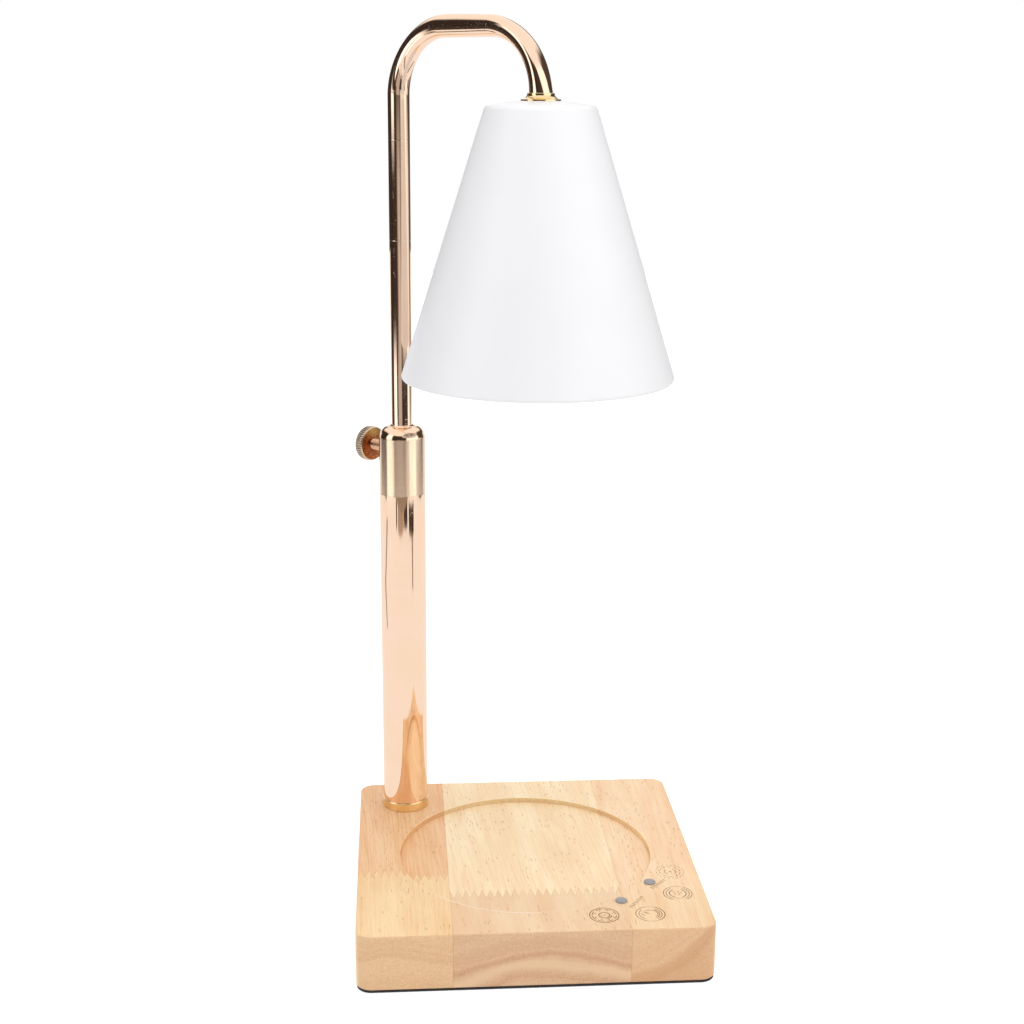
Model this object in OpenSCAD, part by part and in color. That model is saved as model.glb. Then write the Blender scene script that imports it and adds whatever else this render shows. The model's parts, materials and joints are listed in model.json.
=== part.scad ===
// Candle warmer lamp: a wooden base with a candle recess, a column with a
// clamped sliding and swivelling arm, and a metal shade over a reflector bulb.
// Origin: centre of the base's underside. +X right along the base's front
// edge, +Y away from the front, +Z up. Millimetres.

/* [Base] */
// Side of the square base
base_w = 150; // [140:1:180]
// Thickness of the wood block
block_h = 24.4; // [23:0.2:32]
// Radius of the block's upright corners
corner_r = 6.5; // [5:0.5:12]
// Chamfer round the block's top edge
edge_cut = 0.8; // [0.4:0.1:1.5]
// Thickness of the soft pad under the base
pad_h = 1.2; // [0.8:0.1:2]
// How far the pad stands back from the block's sides
pad_inset = 0.3; // [0.1:0.1:1.5]
// From the candle recess's edge to the centre of the front button
recess_to_button = 4.9; // [3.6:0.1:10]
// Depth of the candle recess
recess_depth = 2.25; // [1.5:0.05:3]
// Recess centre, right of the base's centre
recess_x = 0.4; // [-2:0.1:2]
// Recess centre, behind the base's centre
recess_y = -1.4; // [-3:0.1:1]

/* [Hollow under the base] */
// Depth of the hollow, measured from the cover plate
hollow_h = 12.3; // [11:0.1:13.5]
// Wood left between the hollow and the base's sides
hollow_wall = 13; // [12:0.5:15]
// Corner radius of the hollow
hollow_r = 3; // [2:0.5:4]
// Thickness of the steel cover plate
cover_t = 1.5; // [1:0.1:2]
// How far the cover plate's rabbet stands in from the block's sides
cover_inset = 3; // [2:0.1:4]
// Cover screws, inwards from the base's sides
cover_screw_inset = 8; // [7.5:0.1:9]
// Thickness of the ballast plate
ballast_t = 6; // [4:0.5:7]
// Gap between the ballast plate and the walls of the hollow
ballast_wall_gap = 4; // [1:0.5:8]
// Gap between the ballast plate and the control board or terminal block
ballast_gap = 6; // [4:0.5:10]

/* [Column] */
// Column centre, in from the base's left side
column_inset_x = 21.9; // [21:0.1:26]
// Column centre, in from the base's back side
column_inset_y = 22.2; // [21:0.1:26]
// Outer radius of the column tube
column_r = 10.5; // [10:0.1:12]
// Wall of the column tube
column_wall = 1; // [0.8:0.1:1.2]
// Length of the column tube
column_len = 150.8; // [140:0.1:160]
// Height of the foot's brass ring
foot_h = 4.2; // [3:0.1:6]
// How far the foot's ring stands out from the column
foot_step = 0.35; // [0.2:0.05:1]
// How far the foot's spigot reaches into the column
foot_spigot = 8; // [6:0.5:10]
// Radius of the threaded stud that holds the column down
stud_r = 5; // [4.5:0.1:5.5]
// Radius of the stud's cable bore
stud_bore_r = 3.3; // [3.1:0.1:3.4]

/* [Clamp collar] */
// Height of the collar above the column tube
collar_h = 31; // [28:0.1:36]
// Radius of the collar's rounded shoulder
collar_round = 5.1; // [3:0.1:5.3]
// How far the collar's spigot reaches into the column
collar_spigot = 5; // [4:0.5:8]
// Thumb screw axis, below the collar's top
screw_drop = 11.4; // [8:0.1:14]
// Radius of the thumb screw's shank
screw_r = 2.5; // [2:0.1:3]
// Gap between the collar and the thumb screw's head
screw_reach = 8.5; // [6:0.1:10]
// Radius of the thumb screw's head
screw_head_r = 8; // [7:0.1:9]
// Thickness of the thumb screw's head
screw_head_t = 4.5; // [3.5:0.1:5.5]
// Number of grooves round the thumb screw's head
knurl_n = 44; // [30:1:50]
// Depth of a groove in the thumb screw's head
knurl_depth = 0.35; // [0.2:0.05:0.5]

/* [Arm] */
// Outer radius of the arm tube
arm_r = 4.75; // [4.5:0.05:5.2]
// Wall of the arm tube
arm_wall = 1; // [0.8:0.1:1.1]
// Straight stretch of the tube between its outer bend and the shade's flange
arm_drop = 0.2; // [0.1:0.1:10]
// Sideways reach of the arm, from the column to the shade's centre line
arm_reach = 82; // [76:0.5:90]
// Radius of the bend above the column, to the tube's centre
bend_r = 28.4; // [22:0.2:32]
// Radius of the bend above the shade, to the tube's centre
drop_bend_r = 26; // [22:0.2:30]
// Direction in which the arm points, from +X, turning towards +Y
arm_turn = -46.6; // [-60:0.1:-30]
// How far the arm slides up before its ring meets the collar
slide_up = 3.5; // [1:0.5:5]
// Height of the nylon guide bush
bush_h = 7.8; // [6:0.1:10]

/* [Shade] */
// Outer radius of the shade's rim
rim_r = 57.1; // [52:0.1:60]
// Outer radius of the shade's top, where the sides would meet it
top_r = 22.4; // [20:0.1:26]
// Height of the shade's rim above the floor
rim_z = 243.8; // [240:0.1:250]
// Height of the shade, from its rim to its top corner
shade_h = 110.1; // [100:0.1:120]
// Thickness of the shade's sheet
shade_t = 0.8; // [0.6:0.1:1]
// Radius of the shade's rounded top corner
shade_round = 3; // [2:0.1:4]
// How far the shade's middle stands above its top corner
crown = 1.8; // [1:0.1:2.5]
// Rim's turned-in lip, outer radius of its bend
lip_r = 1.2; // [1.2:0.1:3]
// Outer radius of the brass flange on the shade
flange_r = 8.1; // [7.5:0.1:10]
// Height of the brass flange
flange_h = 3.1; // [2.8:0.1:5]

/* [Bulb and its holder] */
// Radius of the bulb's face
bulb_r = 25; // [23:0.1:25.5]
// Height of the bulb, from its face to the end of its neck
bulb_len = 48; // [44:0.5:50]
// Radius of the bulb's neck
neck_r = 11; // [10:0.1:12]
// Height of the bulb's neck
neck_h = 12; // [10:0.5:14]
// Distance between the bulb's two pins
pin_pitch = 10; // [9.5:0.1:10.5]
// Turn that frees the bulb's pins
twist = 35; // [30:1:40]
// Height of the ceramic holder
holder_h = 14; // [12:0.5:15]
// Length of the ceramic holder
holder_w = 34; // [32:0.5:38]
// Width of the ceramic holder
holder_d = 19; // [18:0.5:22]
// Distance between the holder's two screws
holder_pitch = 26; // [25:0.5:28]
// Thickness of the holder's steel bracket
bracket_t = 1.2; // [1:0.1:1.5]
// Height of the bracket, between its top and its feet
bracket_h = 9; // [8:0.1:11]

/* [Controls] */
// Front button, in from the base's right side
dimmer_in_x = 37.4; // [36:0.1:39]
// Front button, in from the base's front side
dimmer_in_y = 24.6; // [23:0.1:25.5]
// Rear button, in from the base's right side
timer_in_x = 22.8; // [22:0.1:24]
// Rear button, in from the base's front side
timer_in_y = 40.4; // [39:0.1:42]
// Radius of a button's cap
button_r = 2.5; // [2:0.1:3]
// How far a button's cap stands above the wood
button_proud = 1; // [0.6:0.1:1.5]
// How far a button can be pressed
button_travel = 0.6; // [0.3:0.1:0.8]
// Width of the control board
board_w = 33; // [32:0.5:34]
// Depth of the control board, front to back
board_d = 36; // [34:0.5:37]
// Thickness of the control board
board_t = 1.6; // [1:0.1:2]
// Gap between the wood and the board
board_drop = 4.5; // [4.2:0.1:5]
// Radius of the cable inlet's hole
inlet_r = 3.1; // [2.6:0.1:3.3]
// Cable inlet, right of the base's centre
inlet_x = 20; // [0:1:40]

/* [Fits] */
// Gap round a shaft that turns or slides in its hole
run_gap = 0.06; // [0.03:0.01:0.1]
// Gap round a thread, or round a piece pushed into its seat
seat_gap = 0.05; // [0.02:0.01:0.1]
// Gap between pieces that move past each other without touching
clear_gap = 0.3; // [0.2:0.05:0.4]

/* [Hidden] */
$fn = 64;
eps = 0.01;
cut = 1;

half = base_w / 2;
block_top = pad_h + block_h;
cover_top = pad_h + cover_t;
hollow_top = cover_top + hollow_h;
hollow_half = half - hollow_wall;
cover_r = corner_r - 1.5;
recess_ease = 0.4;
cover_half = half - cover_inset - seat_gap;
cover_screw_at = half - cover_screw_inset;
cover_screw_r = 1.75;
cover_head_r = 3.4;
cover_screw_len = 11;
recess_floor = block_top - recess_depth;

column_x = column_inset_x - half;
column_y = half - column_inset_y;
column_in_r = column_r - column_wall;
tube_bottom = block_top + foot_h;
tube_top = tube_bottom + column_len;
spigot_top = tube_bottom + foot_spigot;
foot_edge = 0.5;
washer_r = 11;
washer_t = 1.5;
nut_af = 14;
nut_t = 4;
stud_end = 1;
washer_bottom = hollow_top - washer_t;
nut_bottom = washer_bottom - nut_t;
stud_bottom = nut_bottom - stud_end;
stud_pocket_r = washer_r + 1;

collar_top = tube_top + collar_h;
collar_foot = tube_top - collar_spigot;
screw_z = collar_top - screw_drop;
screw_turn = arm_turn + 180;
screw_pitch = 0.8;
tip_r = screw_r - 0.4;
tip_len = 1.6;
tip_start = arm_r + 0.15;
tip_gap = 0.1;
shank_start = tip_start + tip_len + tip_gap;
head_start = column_r + screw_reach;
head_edge = 0.6;

arm_in_r = arm_r - arm_wall;
circlip_t = 1;
circlip_r = arm_r + 1.8;
circlip_depth = 0.45;
circlip_top = collar_foot - slide_up - clear_gap;
circlip_bottom = circlip_top - circlip_t;
bush_top = circlip_bottom - 0.1;
bush_r = column_in_r - run_gap;
arm_end = bush_top - bush_h - 0.1;
ferrule_t = 1.5;
ferrule_r = arm_r + 1.6;
ferrule_plug = 8;
ferrule_bottom = arm_end - ferrule_t;
cable_r = 2.4;
cable_gap = 0.3;

top_z = rim_z + shade_h;
slope = (rim_r - top_r) / shade_h;
lean = atan(slope);
shade_hole_r = 4.2;
shade_top = top_z + crown;
shade_under = shade_top - shade_t;
flange_top = shade_top + flange_h;
flange_neck_r = arm_r + 0.8;
flange_edge = 0.8;
lip_end = -115;
arm_z = flange_top + arm_drop + drop_bend_r;
nipple_r = arm_in_r - seat_gap;
nipple_bore_r = cable_r + cable_gap;
nipple_in = flange_h + arm_drop - seat_gap;
lock_washer_t = 0.8;
lock_washer_r = 8;
locknut_t = 3;
locknut_af = 12;
locknut_top = shade_under - lock_washer_t;
locknut_bottom = locknut_top - locknut_t;
bracket_top = locknut_bottom;
bracket_w = 12;
bracket_nut_t = 3;
bracket_nut_top = bracket_top - bracket_t;
nipple_bottom = bracket_nut_top - bracket_nut_t - 1;
bracket_leg_x = 9;
bracket_foot = 7.5;
bracket_foot_top = bracket_top - bracket_h;
holder_top = bracket_foot_top - bracket_t;
holder_bottom = holder_top - holder_h;
neck_top = holder_bottom - 0.2;
bulb_face = neck_top - bulb_len;
holder_screw_r = 1.5;
holder_head_t = 2.4;
holder_round = 6;
reflector_t = 1.5;
lens_t = 1.6;
capsule_r = 4.5;
capsule_len = 18;
pin_r = 1.2;
pin_head_r = 2.4;
pin_head_t = 1.6;
pin_len = 7;
pin_slot_gap = 0.35;
pin_slot_h = 3;
pin_room = 9.5;
shade_x = column_x + arm_reach * cos(arm_turn);
shade_y = column_y + arm_reach * sin(arm_turn);

dimmer_x = half - dimmer_in_x;
dimmer_y = dimmer_in_y - half;
timer_x = half - timer_in_x;
timer_y = timer_in_y - half;
recess_r = norm([dimmer_x - recess_x, dimmer_y - recess_y]) - recess_to_button;
button_hole_r = button_r + run_gap;
button_lip_r = button_r + 1.1;
button_lip_t = 1.2;
button_top = block_top + button_proud;
button_dome = 0.7;
button_lip_top = hollow_top - 0.2;
button_lip_bottom = button_lip_top - button_lip_t;
board_top = hollow_top - board_drop;
board_bottom = board_top - board_t;
board_x = (dimmer_x + timer_x) / 2 - 0.15;
board_y = (dimmer_y + timer_y) / 2 - 0.25;
board_hole_in = 3;
board_screw_r = 1.2;
board_head_t = 1.4;
board_screw_len = 5;
plunger_r = 1.6;
plunger_top = button_lip_bottom - 0.1;
switch_half = 3;
switch_top = board_top + 1.9;
plunger_bottom = board_top + 0.2 + button_travel;

lead_r = 1.1;
lead_bend = 3;
lead_split = 1.4;
lead_z = stud_bottom - 2;
terminal_x = -2;
terminal_screw_r = 1.4;
terminal_head_r = 2.6;
terminal_y = column_y;
terminal_w = 18;
terminal_d = 14;
terminal_bottom = lead_z - 3;
lead_end = terminal_x - terminal_w / 2;
capacitor = [10, 6, 5];
power_switch = [9, 4.5, 4.5];
chip = [9, 7, 1.8];
can_r = 3.2;
can_h = 4.8;
plug_w = 8;
plug_d = 6;
plug_h = 4.4;
plug_x = board_x;
plug_y = board_y + board_d / 2 - plug_d / 2 - 0.5;
board_lead_z = board_bottom - plug_h / 2;

ballast_w = board_x - board_w / 2 - ballast_gap + hollow_half - ballast_wall_gap;
ballast_d = terminal_y - terminal_d / 2 - ballast_gap + hollow_half - ballast_wall_gap;
ballast_x = ballast_w / 2 - hollow_half + ballast_wall_gap;
ballast_y = ballast_d / 2 - hollow_half + ballast_wall_gap;
ballast_round = 3;
ballast_hole_in = 8;
ballast_bottom = hollow_top - ballast_t;
ballast_screw_r = 1.7;
ballast_head_r = 3.4;
ballast_head_t = 2;
ballast_screw_len = 5.5;

inlet_z = (cover_top + hollow_top) / 2 + 0.3;
grommet_r = inlet_r + 1.4;
grommet_flange_r = grommet_r + 1;
grommet_flange_t = 1.5;
grommet_set = 0.2;

wood = [0.87, 0.68, 0.48];
steel = [0.72, 0.73, 0.75];
rose = [0.86, 0.62, 0.50];
brass = [0.86, 0.66, 0.34];
black = [0.08, 0.08, 0.08];
nylon = [0.90, 0.88, 0.82];
ceramic = [0.95, 0.94, 0.90];
copper = [0.80, 0.45, 0.28];

// A rectangle with rounded corners, centred on the origin.
module round_rect(w, d, r) {
    difference() {
        square([w, d], center = true);
        for (sx = [-1, 1], sy = [-1, 1])
            translate([sx * (w / 2 - r), sy * (d / 2 - r)])
                difference() {
                    translate([sx * (r + cut) / 2, sy * (r + cut) / 2]) square(r + cut, center = true);
                    circle(r);
                }
    }
}

module round_plate(w, d, r, h) { linear_extrude(h) round_rect(w, d, r); }

module ring(r_out, r_in, h) {
    difference() {
        cylinder(r = r_out, h = h);
        translate([0, 0, -cut]) cylinder(r = r_in, h = h + 2 * cut);
    }
}

module at_column(z = 0) { translate([column_x, column_y, z]) children(); }

module at_shade(z = 0) { translate([shade_x, shade_y, z]) children(); }

// Local +X runs along the arm.
module along_arm(z = 0) { at_column(z) rotate([0, 0, arm_turn]) children(); }

// Local +Z runs outwards along the thumb screw.
module along_screw() { at_column(screw_z) rotate([0, 0, screw_turn]) rotate([0, 90, 0]) children(); }

module at_corners(at) {
    for (sx = [-1, 1], sy = [-1, 1]) translate([sx * at, sy * at, 0]) children();
}

module at_board_holes() {
    for (sx = [-1, 1], sy = [-1, 1])
        translate([board_x + sx * (board_w / 2 - board_hole_in), board_y + sy * (board_d / 2 - board_hole_in), 0])
            children();
}

module at_ballast_holes() {
    for (sx = [-1, 1], sy = [-1, 1])
        translate([ballast_x + sx * (ballast_w / 2 - ballast_hole_in),
                   ballast_y + sy * (ballast_d / 2 - ballast_hole_in), 0])
            children();
}

// Tube's centre line, solid, with its ends lengthened by more.
module arm_path(r, from_z, to_z, more = 0) {
    along_arm() {
        translate([0, 0, from_z - more]) cylinder(r = r, h = arm_z - bend_r - from_z + more);
        translate([bend_r, 0, arm_z - bend_r])
            rotate([90, 0, 0]) rotate([0, 0, 90]) rotate_extrude(angle = 90) translate([bend_r, 0]) circle(r);
        translate([bend_r, 0, arm_z])
            rotate([0, 90, 0]) cylinder(r = r, h = arm_reach - bend_r - drop_bend_r);
        translate([arm_reach - drop_bend_r, 0, arm_z - drop_bend_r])
            rotate([90, 0, 0]) rotate_extrude(angle = 90) translate([drop_bend_r, 0]) circle(r);
        translate([arm_reach, 0, to_z - more]) cylinder(r = r, h = arm_z - drop_bend_r - to_z + more);
    }
}

// Countersunk or pan head at the bottom of a shank that points up.
module wood_screw(r, head_r, head_h, len, countersunk = false) {
    if (countersunk) cylinder(r1 = head_r, r2 = r, h = head_h);
    else cylinder(r = head_r, h = head_h);
    translate([0, 0, head_h - eps]) cylinder(r = r, h = len + eps);
}

// Hexagonal nut with a round threaded hole.
module hex_nut(across, r_in, h) {
    difference() {
        cylinder(r = across / 2 / cos(30), h = h, $fn = 6);
        translate([0, 0, -cut]) cylinder(r = r_in, h = h + 2 * cut);
    }
}

// Chamfer along the top edge of the block, as a solid to take away.
module top_chamfer() {
    side = base_w - 2 * corner_r;
    for (a = [0, 90, 180, 270])
        rotate([0, 0, a]) {
            translate([half, side / 2, block_top])
                rotate([90, 0, 0]) linear_extrude(side)
                    polygon([[cut, cut], [-edge_cut - cut, cut], [-edge_cut, 0], [0, -edge_cut], [cut, -edge_cut]]);
            translate([half - corner_r, half - corner_r, block_top])
                rotate_extrude(angle = 90)
                    polygon([[corner_r + cut, cut], [corner_r - edge_cut, cut], [corner_r - edge_cut, 0],
                             [corner_r, -edge_cut], [corner_r + cut, -edge_cut]]);
        }
}

module base_block() {
    color(wood) difference() {
        translate([0, 0, pad_h]) round_plate(base_w, base_w, corner_r, block_h);
        top_chamfer();
        translate([recess_x, recess_y, recess_floor]) cylinder(r = recess_r, h = recess_depth + cut, $fn = 128);
        translate([recess_x, recess_y, block_top - recess_ease])
            cylinder(r1 = recess_r, r2 = recess_r + recess_ease + cut, h = recess_ease + cut, $fn = 128);
        translate([0, 0, pad_h - cut])
            round_plate(base_w - 2 * cover_inset, base_w - 2 * cover_inset, cover_r, cover_t + cut);
        translate([0, 0, cover_top - eps])
            round_plate(2 * hollow_half, 2 * hollow_half, hollow_r, hollow_h + eps);
        at_column(cover_top - eps) cylinder(r = stud_pocket_r, h = hollow_h + eps);
        at_column(hollow_top - cut) cylinder(r = stud_r + seat_gap, h = block_top - hollow_top + 2 * cut);
        at_corners(cover_screw_at) translate([0, 0, pad_h])
            cylinder(r = cover_screw_r + seat_gap, h = cover_screw_len + 2);
        at_ballast_holes() translate([0, 0, hollow_top - cut])
            cylinder(r = ballast_screw_r + seat_gap, h = ballast_screw_len + cut + 0.2);
        at_board_holes() translate([0, 0, hollow_top - cut])
            cylinder(r = board_screw_r + seat_gap, h = board_screw_len + cut + 0.2);
        translate([terminal_x, terminal_y, hollow_top - cut])
            cylinder(r = terminal_screw_r + seat_gap, h = board_screw_len + cut + 0.2);
        for (p = [[dimmer_x, dimmer_y], [timer_x, timer_y]])
            translate([p[0], p[1], hollow_top - cut])
                cylinder(r = button_hole_r, h = block_top - hollow_top + 2 * cut);
        translate([inlet_x, hollow_half - cut, inlet_z]) rotate([-90, 0, 0])
            cylinder(r = grommet_r + seat_gap, h = hollow_wall + 2 * cut);
        translate([inlet_x, half - grommet_set - grommet_flange_t, inlet_z]) rotate([-90, 0, 0])
            cylinder(r = grommet_flange_r + seat_gap, h = grommet_flange_t + grommet_set + cut);
    }
}

module base_pad() {
    color(black)
        round_plate(base_w - 2 * pad_inset, base_w - 2 * pad_inset, corner_r - pad_inset, pad_h);
}

module cover_plate() {
    color(steel) difference() {
        translate([0, 0, pad_h]) round_plate(2 * cover_half, 2 * cover_half, cover_r - seat_gap, cover_t);
        at_corners(cover_screw_at) translate([0, 0, pad_h - cut])
            cylinder(r = cover_screw_r + seat_gap, h = cover_t + 2 * cut);
        at_corners(cover_screw_at) translate([0, 0, pad_h - eps])
            cylinder(r1 = cover_head_r + seat_gap + eps, r2 = cover_screw_r + seat_gap, h = cover_t + eps);
    }
}

module cover_screws() {
    color(steel) at_corners(cover_screw_at) translate([0, 0, pad_h])
        wood_screw(cover_screw_r, cover_head_r, cover_t, cover_screw_len, countersunk = true);
}

module ballast_plate() {
    color([0.45, 0.45, 0.47]) difference() {
        translate([ballast_x, ballast_y, ballast_bottom]) round_plate(ballast_w, ballast_d, ballast_round, ballast_t);
        at_ballast_holes() translate([0, 0, ballast_bottom - cut])
            cylinder(r = ballast_screw_r + seat_gap, h = ballast_t + 2 * cut);
    }
}

module ballast_screws() {
    color(steel) at_ballast_holes() translate([0, 0, ballast_bottom - ballast_head_t])
        wood_screw(ballast_screw_r, ballast_head_r, ballast_head_t, ballast_t + ballast_screw_len);
}

module control_board() {
    color([0.10, 0.35, 0.18]) difference() {
        translate([board_x, board_y, board_bottom]) round_plate(board_w, board_d, 1.5, board_t);
        at_board_holes() translate([0, 0, board_bottom - cut])
            cylinder(r = board_screw_r + seat_gap, h = board_t + 2 * cut);
    }
}

module board_spacers() {
    color(nylon) at_board_holes() translate([0, 0, board_top])
        ring(board_screw_r + 1.5, board_screw_r + seat_gap, board_drop);
}

module board_screws() {
    color(steel) at_board_holes() translate([0, 0, board_bottom - board_head_t])
        wood_screw(board_screw_r, board_screw_r + 1, board_head_t, board_t + board_drop + board_screw_len);
}

// Box-shaped component whose top is soldered to the board.
module under_board(x, y, size) {
    translate([board_x + x - size[0] / 2, board_y + y - size[1] / 2, board_bottom - size[2]]) cube(size);
}

// Lead plug, film capacitor, power switch, timer chip and a round capacitor.
module board_components() {
    color([0.16, 0.16, 0.18]) {
        translate([plug_x - plug_w / 2, plug_y - plug_d / 2, board_bottom - plug_h]) cube([plug_w, plug_d, plug_h]);
        under_board(-board_w / 4, -board_d / 4, capacitor);
        under_board(board_w / 4, -board_d / 4, power_switch);
        under_board(-board_w / 4, board_d / 12, chip);
        translate([board_x + board_w / 4, board_y + board_d / 12, board_bottom - can_h])
            cylinder(r = can_r, h = can_h);
    }
}

module at_buttons() {
    for (p = [[dimmer_x, dimmer_y], [timer_x, timer_y]]) translate([p[0], p[1], 0]) children();
}

module switch_bodies() {
    color([0.2, 0.2, 0.22]) at_buttons() difference() {
        translate([-switch_half, -switch_half, board_top])
            cube([2 * switch_half, 2 * switch_half, switch_top - board_top]);
        translate([0, 0, board_top - cut]) cylinder(r = plunger_r + run_gap, h = switch_top - board_top + 2 * cut);
    }
}

module plunger() {
    color(black) translate([0, 0, plunger_bottom]) cylinder(r = plunger_r, h = plunger_top - plunger_bottom);
}

// Domed cap on a stem, with a lip that holds it under the wood.
module button() {
    color([0.42, 0.43, 0.45]) {
        translate([0, 0, button_lip_bottom]) cylinder(r = button_lip_r, h = button_lip_t);
        translate([0, 0, button_lip_top - eps])
            rotate_extrude() polygon(concat(
                [[0, 0], [button_r, 0]],
                [for (a = [0 : 15 : 90])
                    [button_r * cos(a), button_top - button_lip_top + eps - button_dome * (1 - sin(a))]]));
    }
}

module dimmer_plunger() { translate([dimmer_x, dimmer_y, 0]) plunger(); }

module timer_plunger() { translate([timer_x, timer_y, 0]) plunger(); }

module dimmer_button() { translate([dimmer_x, dimmer_y, 0]) button(); }

module timer_button() { translate([timer_x, timer_y, 0]) button(); }

module terminal_block() {
    color(nylon) difference() {
        translate([terminal_x - terminal_w / 2, terminal_y - terminal_d / 2, terminal_bottom])
            cube([terminal_w, terminal_d, hollow_top - terminal_bottom]);
        translate([terminal_x, terminal_y, terminal_bottom - cut])
            cylinder(r = terminal_screw_r + seat_gap, h = hollow_top - terminal_bottom + 2 * cut);
        translate([terminal_x, terminal_y, terminal_bottom - cut])
            cylinder(r = terminal_head_r + seat_gap, h = board_head_t + cut);
    }
}

module terminal_screw() {
    color(steel) translate([terminal_x, terminal_y, terminal_bottom])
        wood_screw(terminal_screw_r, terminal_head_r, board_head_t,
                   hollow_top - terminal_bottom - board_head_t + board_screw_len);
}

// Two cores from the end of the column's cable to the terminal block.
module lamp_leads() {
    color("white") for (s = [-1, 1]) translate([column_x, column_y + s * lead_split, 0]) {
        translate([lead_bend, 0, lead_z + lead_bend]) rotate([90, 0, 0]) rotate([0, 0, 180])
            rotate_extrude(angle = 90) translate([lead_bend, 0]) circle(lead_r);
        translate([lead_bend, 0, lead_z]) rotate([0, 90, 0])
            cylinder(r = lead_r, h = lead_end - column_x - lead_bend);
    }
}

// Two cores from the terminal block, round one bend, to the board's plug.
module board_leads() {
    turn_x = plug_x - lead_split - lead_bend;
    turn_y = terminal_y - lead_split - lead_bend;
    start_x = terminal_x + terminal_w / 2;
    plug_face = plug_y + plug_d / 2;
    color("white") for (r = [lead_bend, lead_bend + 2 * lead_split]) {
        translate([start_x, turn_y + r, lead_z]) rotate([0, 90, 0]) cylinder(r = lead_r, h = turn_x - start_x);
        translate([turn_x, turn_y, lead_z]) rotate_extrude(angle = 90) translate([r, 0]) circle(lead_r);
        translate([turn_x + r, turn_y, lead_z]) rotate([90, 0, 0]) cylinder(r = lead_r, h = turn_y - plug_face);
    }
}

module inlet_grommet() {
    len = hollow_wall - grommet_set + grommet_flange_t;
    color(black) translate([inlet_x, half - grommet_set, inlet_z]) rotate([90, 0, 0]) difference() {
        union() {
            cylinder(r = grommet_r, h = len);
            cylinder(r = grommet_flange_r, h = grommet_flange_t);
            translate([0, 0, len - grommet_flange_t]) cylinder(r = grommet_flange_r, h = grommet_flange_t);
        }
        translate([0, 0, -cut]) cylinder(r = inlet_r, h = len + 2 * cut);
    }
}

module column_stud() { color(steel) at_column(stud_bottom) ring(stud_r, stud_bore_r, spigot_top - stud_bottom); }

module column_washer() { color(steel) at_column(washer_bottom) ring(washer_r, stud_r + seat_gap, washer_t); }

module column_nut() { color(steel) at_column(nut_bottom) hex_nut(nut_af, stud_r + seat_gap, nut_t); }

// Brass ring that the column stands on, with a spigot inside the column.
module foot_flange() {
    color(brass) at_column(block_top) difference() {
        union() {
            cylinder(r = column_r + foot_step, h = foot_h - foot_edge);
            translate([0, 0, foot_h - foot_edge])
                cylinder(r1 = column_r + foot_step, r2 = column_r + foot_step - foot_edge, h = foot_edge);
            cylinder(r = column_in_r - seat_gap, h = foot_h + foot_spigot);
        }
        translate([0, 0, -cut]) cylinder(r = stud_r + seat_gap, h = foot_h + foot_spigot + 2 * cut);
    }
}

module column_tube() { color(rose) at_column(tube_bottom) ring(column_r, column_in_r, column_len); }

// Turned collar that the arm slides through, tapped for the thumb screw.
module clamp_collar() {
    color(brass) difference() {
        union() {
            at_column(tube_top) rotate_extrude() difference() {
                square([column_r, collar_h]);
                translate([column_r - collar_round, collar_h - collar_round]) difference() {
                    square(collar_round + cut);
                    circle(collar_round);
                }
            }
            at_column(collar_foot) cylinder(r = column_in_r - seat_gap, h = collar_spigot + 1);
        }
        at_column(collar_foot - cut) cylinder(r = arm_r + run_gap, h = collar_top - collar_foot + 2 * cut);
        along_screw() cylinder(r = screw_r + run_gap, h = column_r + cut);
    }
}

// Shank and round head, grooved round the rim for grip.
module thumb_screw() {
    color(brass) along_screw() {
        translate([0, 0, shank_start]) cylinder(r = screw_r, h = head_start - shank_start + eps);
        translate([0, 0, head_start]) difference() {
            rotate_extrude() polygon([
                [0, 0], [screw_head_r - head_edge, 0], [screw_head_r, head_edge],
                [screw_head_r, screw_head_t - head_edge], [screw_head_r - head_edge, screw_head_t],
                [0, screw_head_t]]);
            for (i = [0 : knurl_n - 1])
                rotate([0, 0, i * 360 / knurl_n]) translate([screw_head_r, 0, -cut])
                    cylinder(r = knurl_depth, h = screw_head_t + 2 * cut, $fn = 4);
        }
    }
}

// Nylon tip that the thumb screw pushes against the arm.
module screw_tip() { color(nylon) along_screw() translate([0, 0, tip_start]) cylinder(r = tip_r, h = tip_len); }

module guide_bush() { color(nylon) at_column(bush_top - bush_h) ring(bush_r, arm_r + run_gap, bush_h); }

module arm_circlip() {
    color(steel) along_arm(circlip_bottom) difference() {
        ring(circlip_r, arm_r - circlip_depth + seat_gap, circlip_t);
        translate([0, -2, -cut]) cube([circlip_r + cut, 4, circlip_t + 2 * cut]);
    }
}

module arm_ferrule() {
    color(nylon) at_column(ferrule_bottom) difference() {
        union() {
            cylinder(r = ferrule_r, h = ferrule_t);
            cylinder(r = arm_in_r - seat_gap, h = ferrule_t + ferrule_plug);
        }
        translate([0, 0, -cut]) cylinder(r = cable_r + cable_gap, h = ferrule_t + ferrule_plug + 2 * cut);
    }
}

module arm_tube() {
    color(rose) difference() {
        arm_path(arm_r, arm_end, shade_top);
        arm_path(arm_in_r, arm_end, shade_top, cut);
        at_column(circlip_bottom - 0.05) ring(arm_r + cut, arm_r - circlip_depth, circlip_t + 0.1);
    }
}

module arm_cable() { color(black) arm_path(cable_r, ferrule_bottom, holder_top); }

module slack_cable() {
    color(black) at_column(lead_z + lead_bend) cylinder(r = cable_r, h = ferrule_bottom - lead_z - lead_bend);
}

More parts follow.
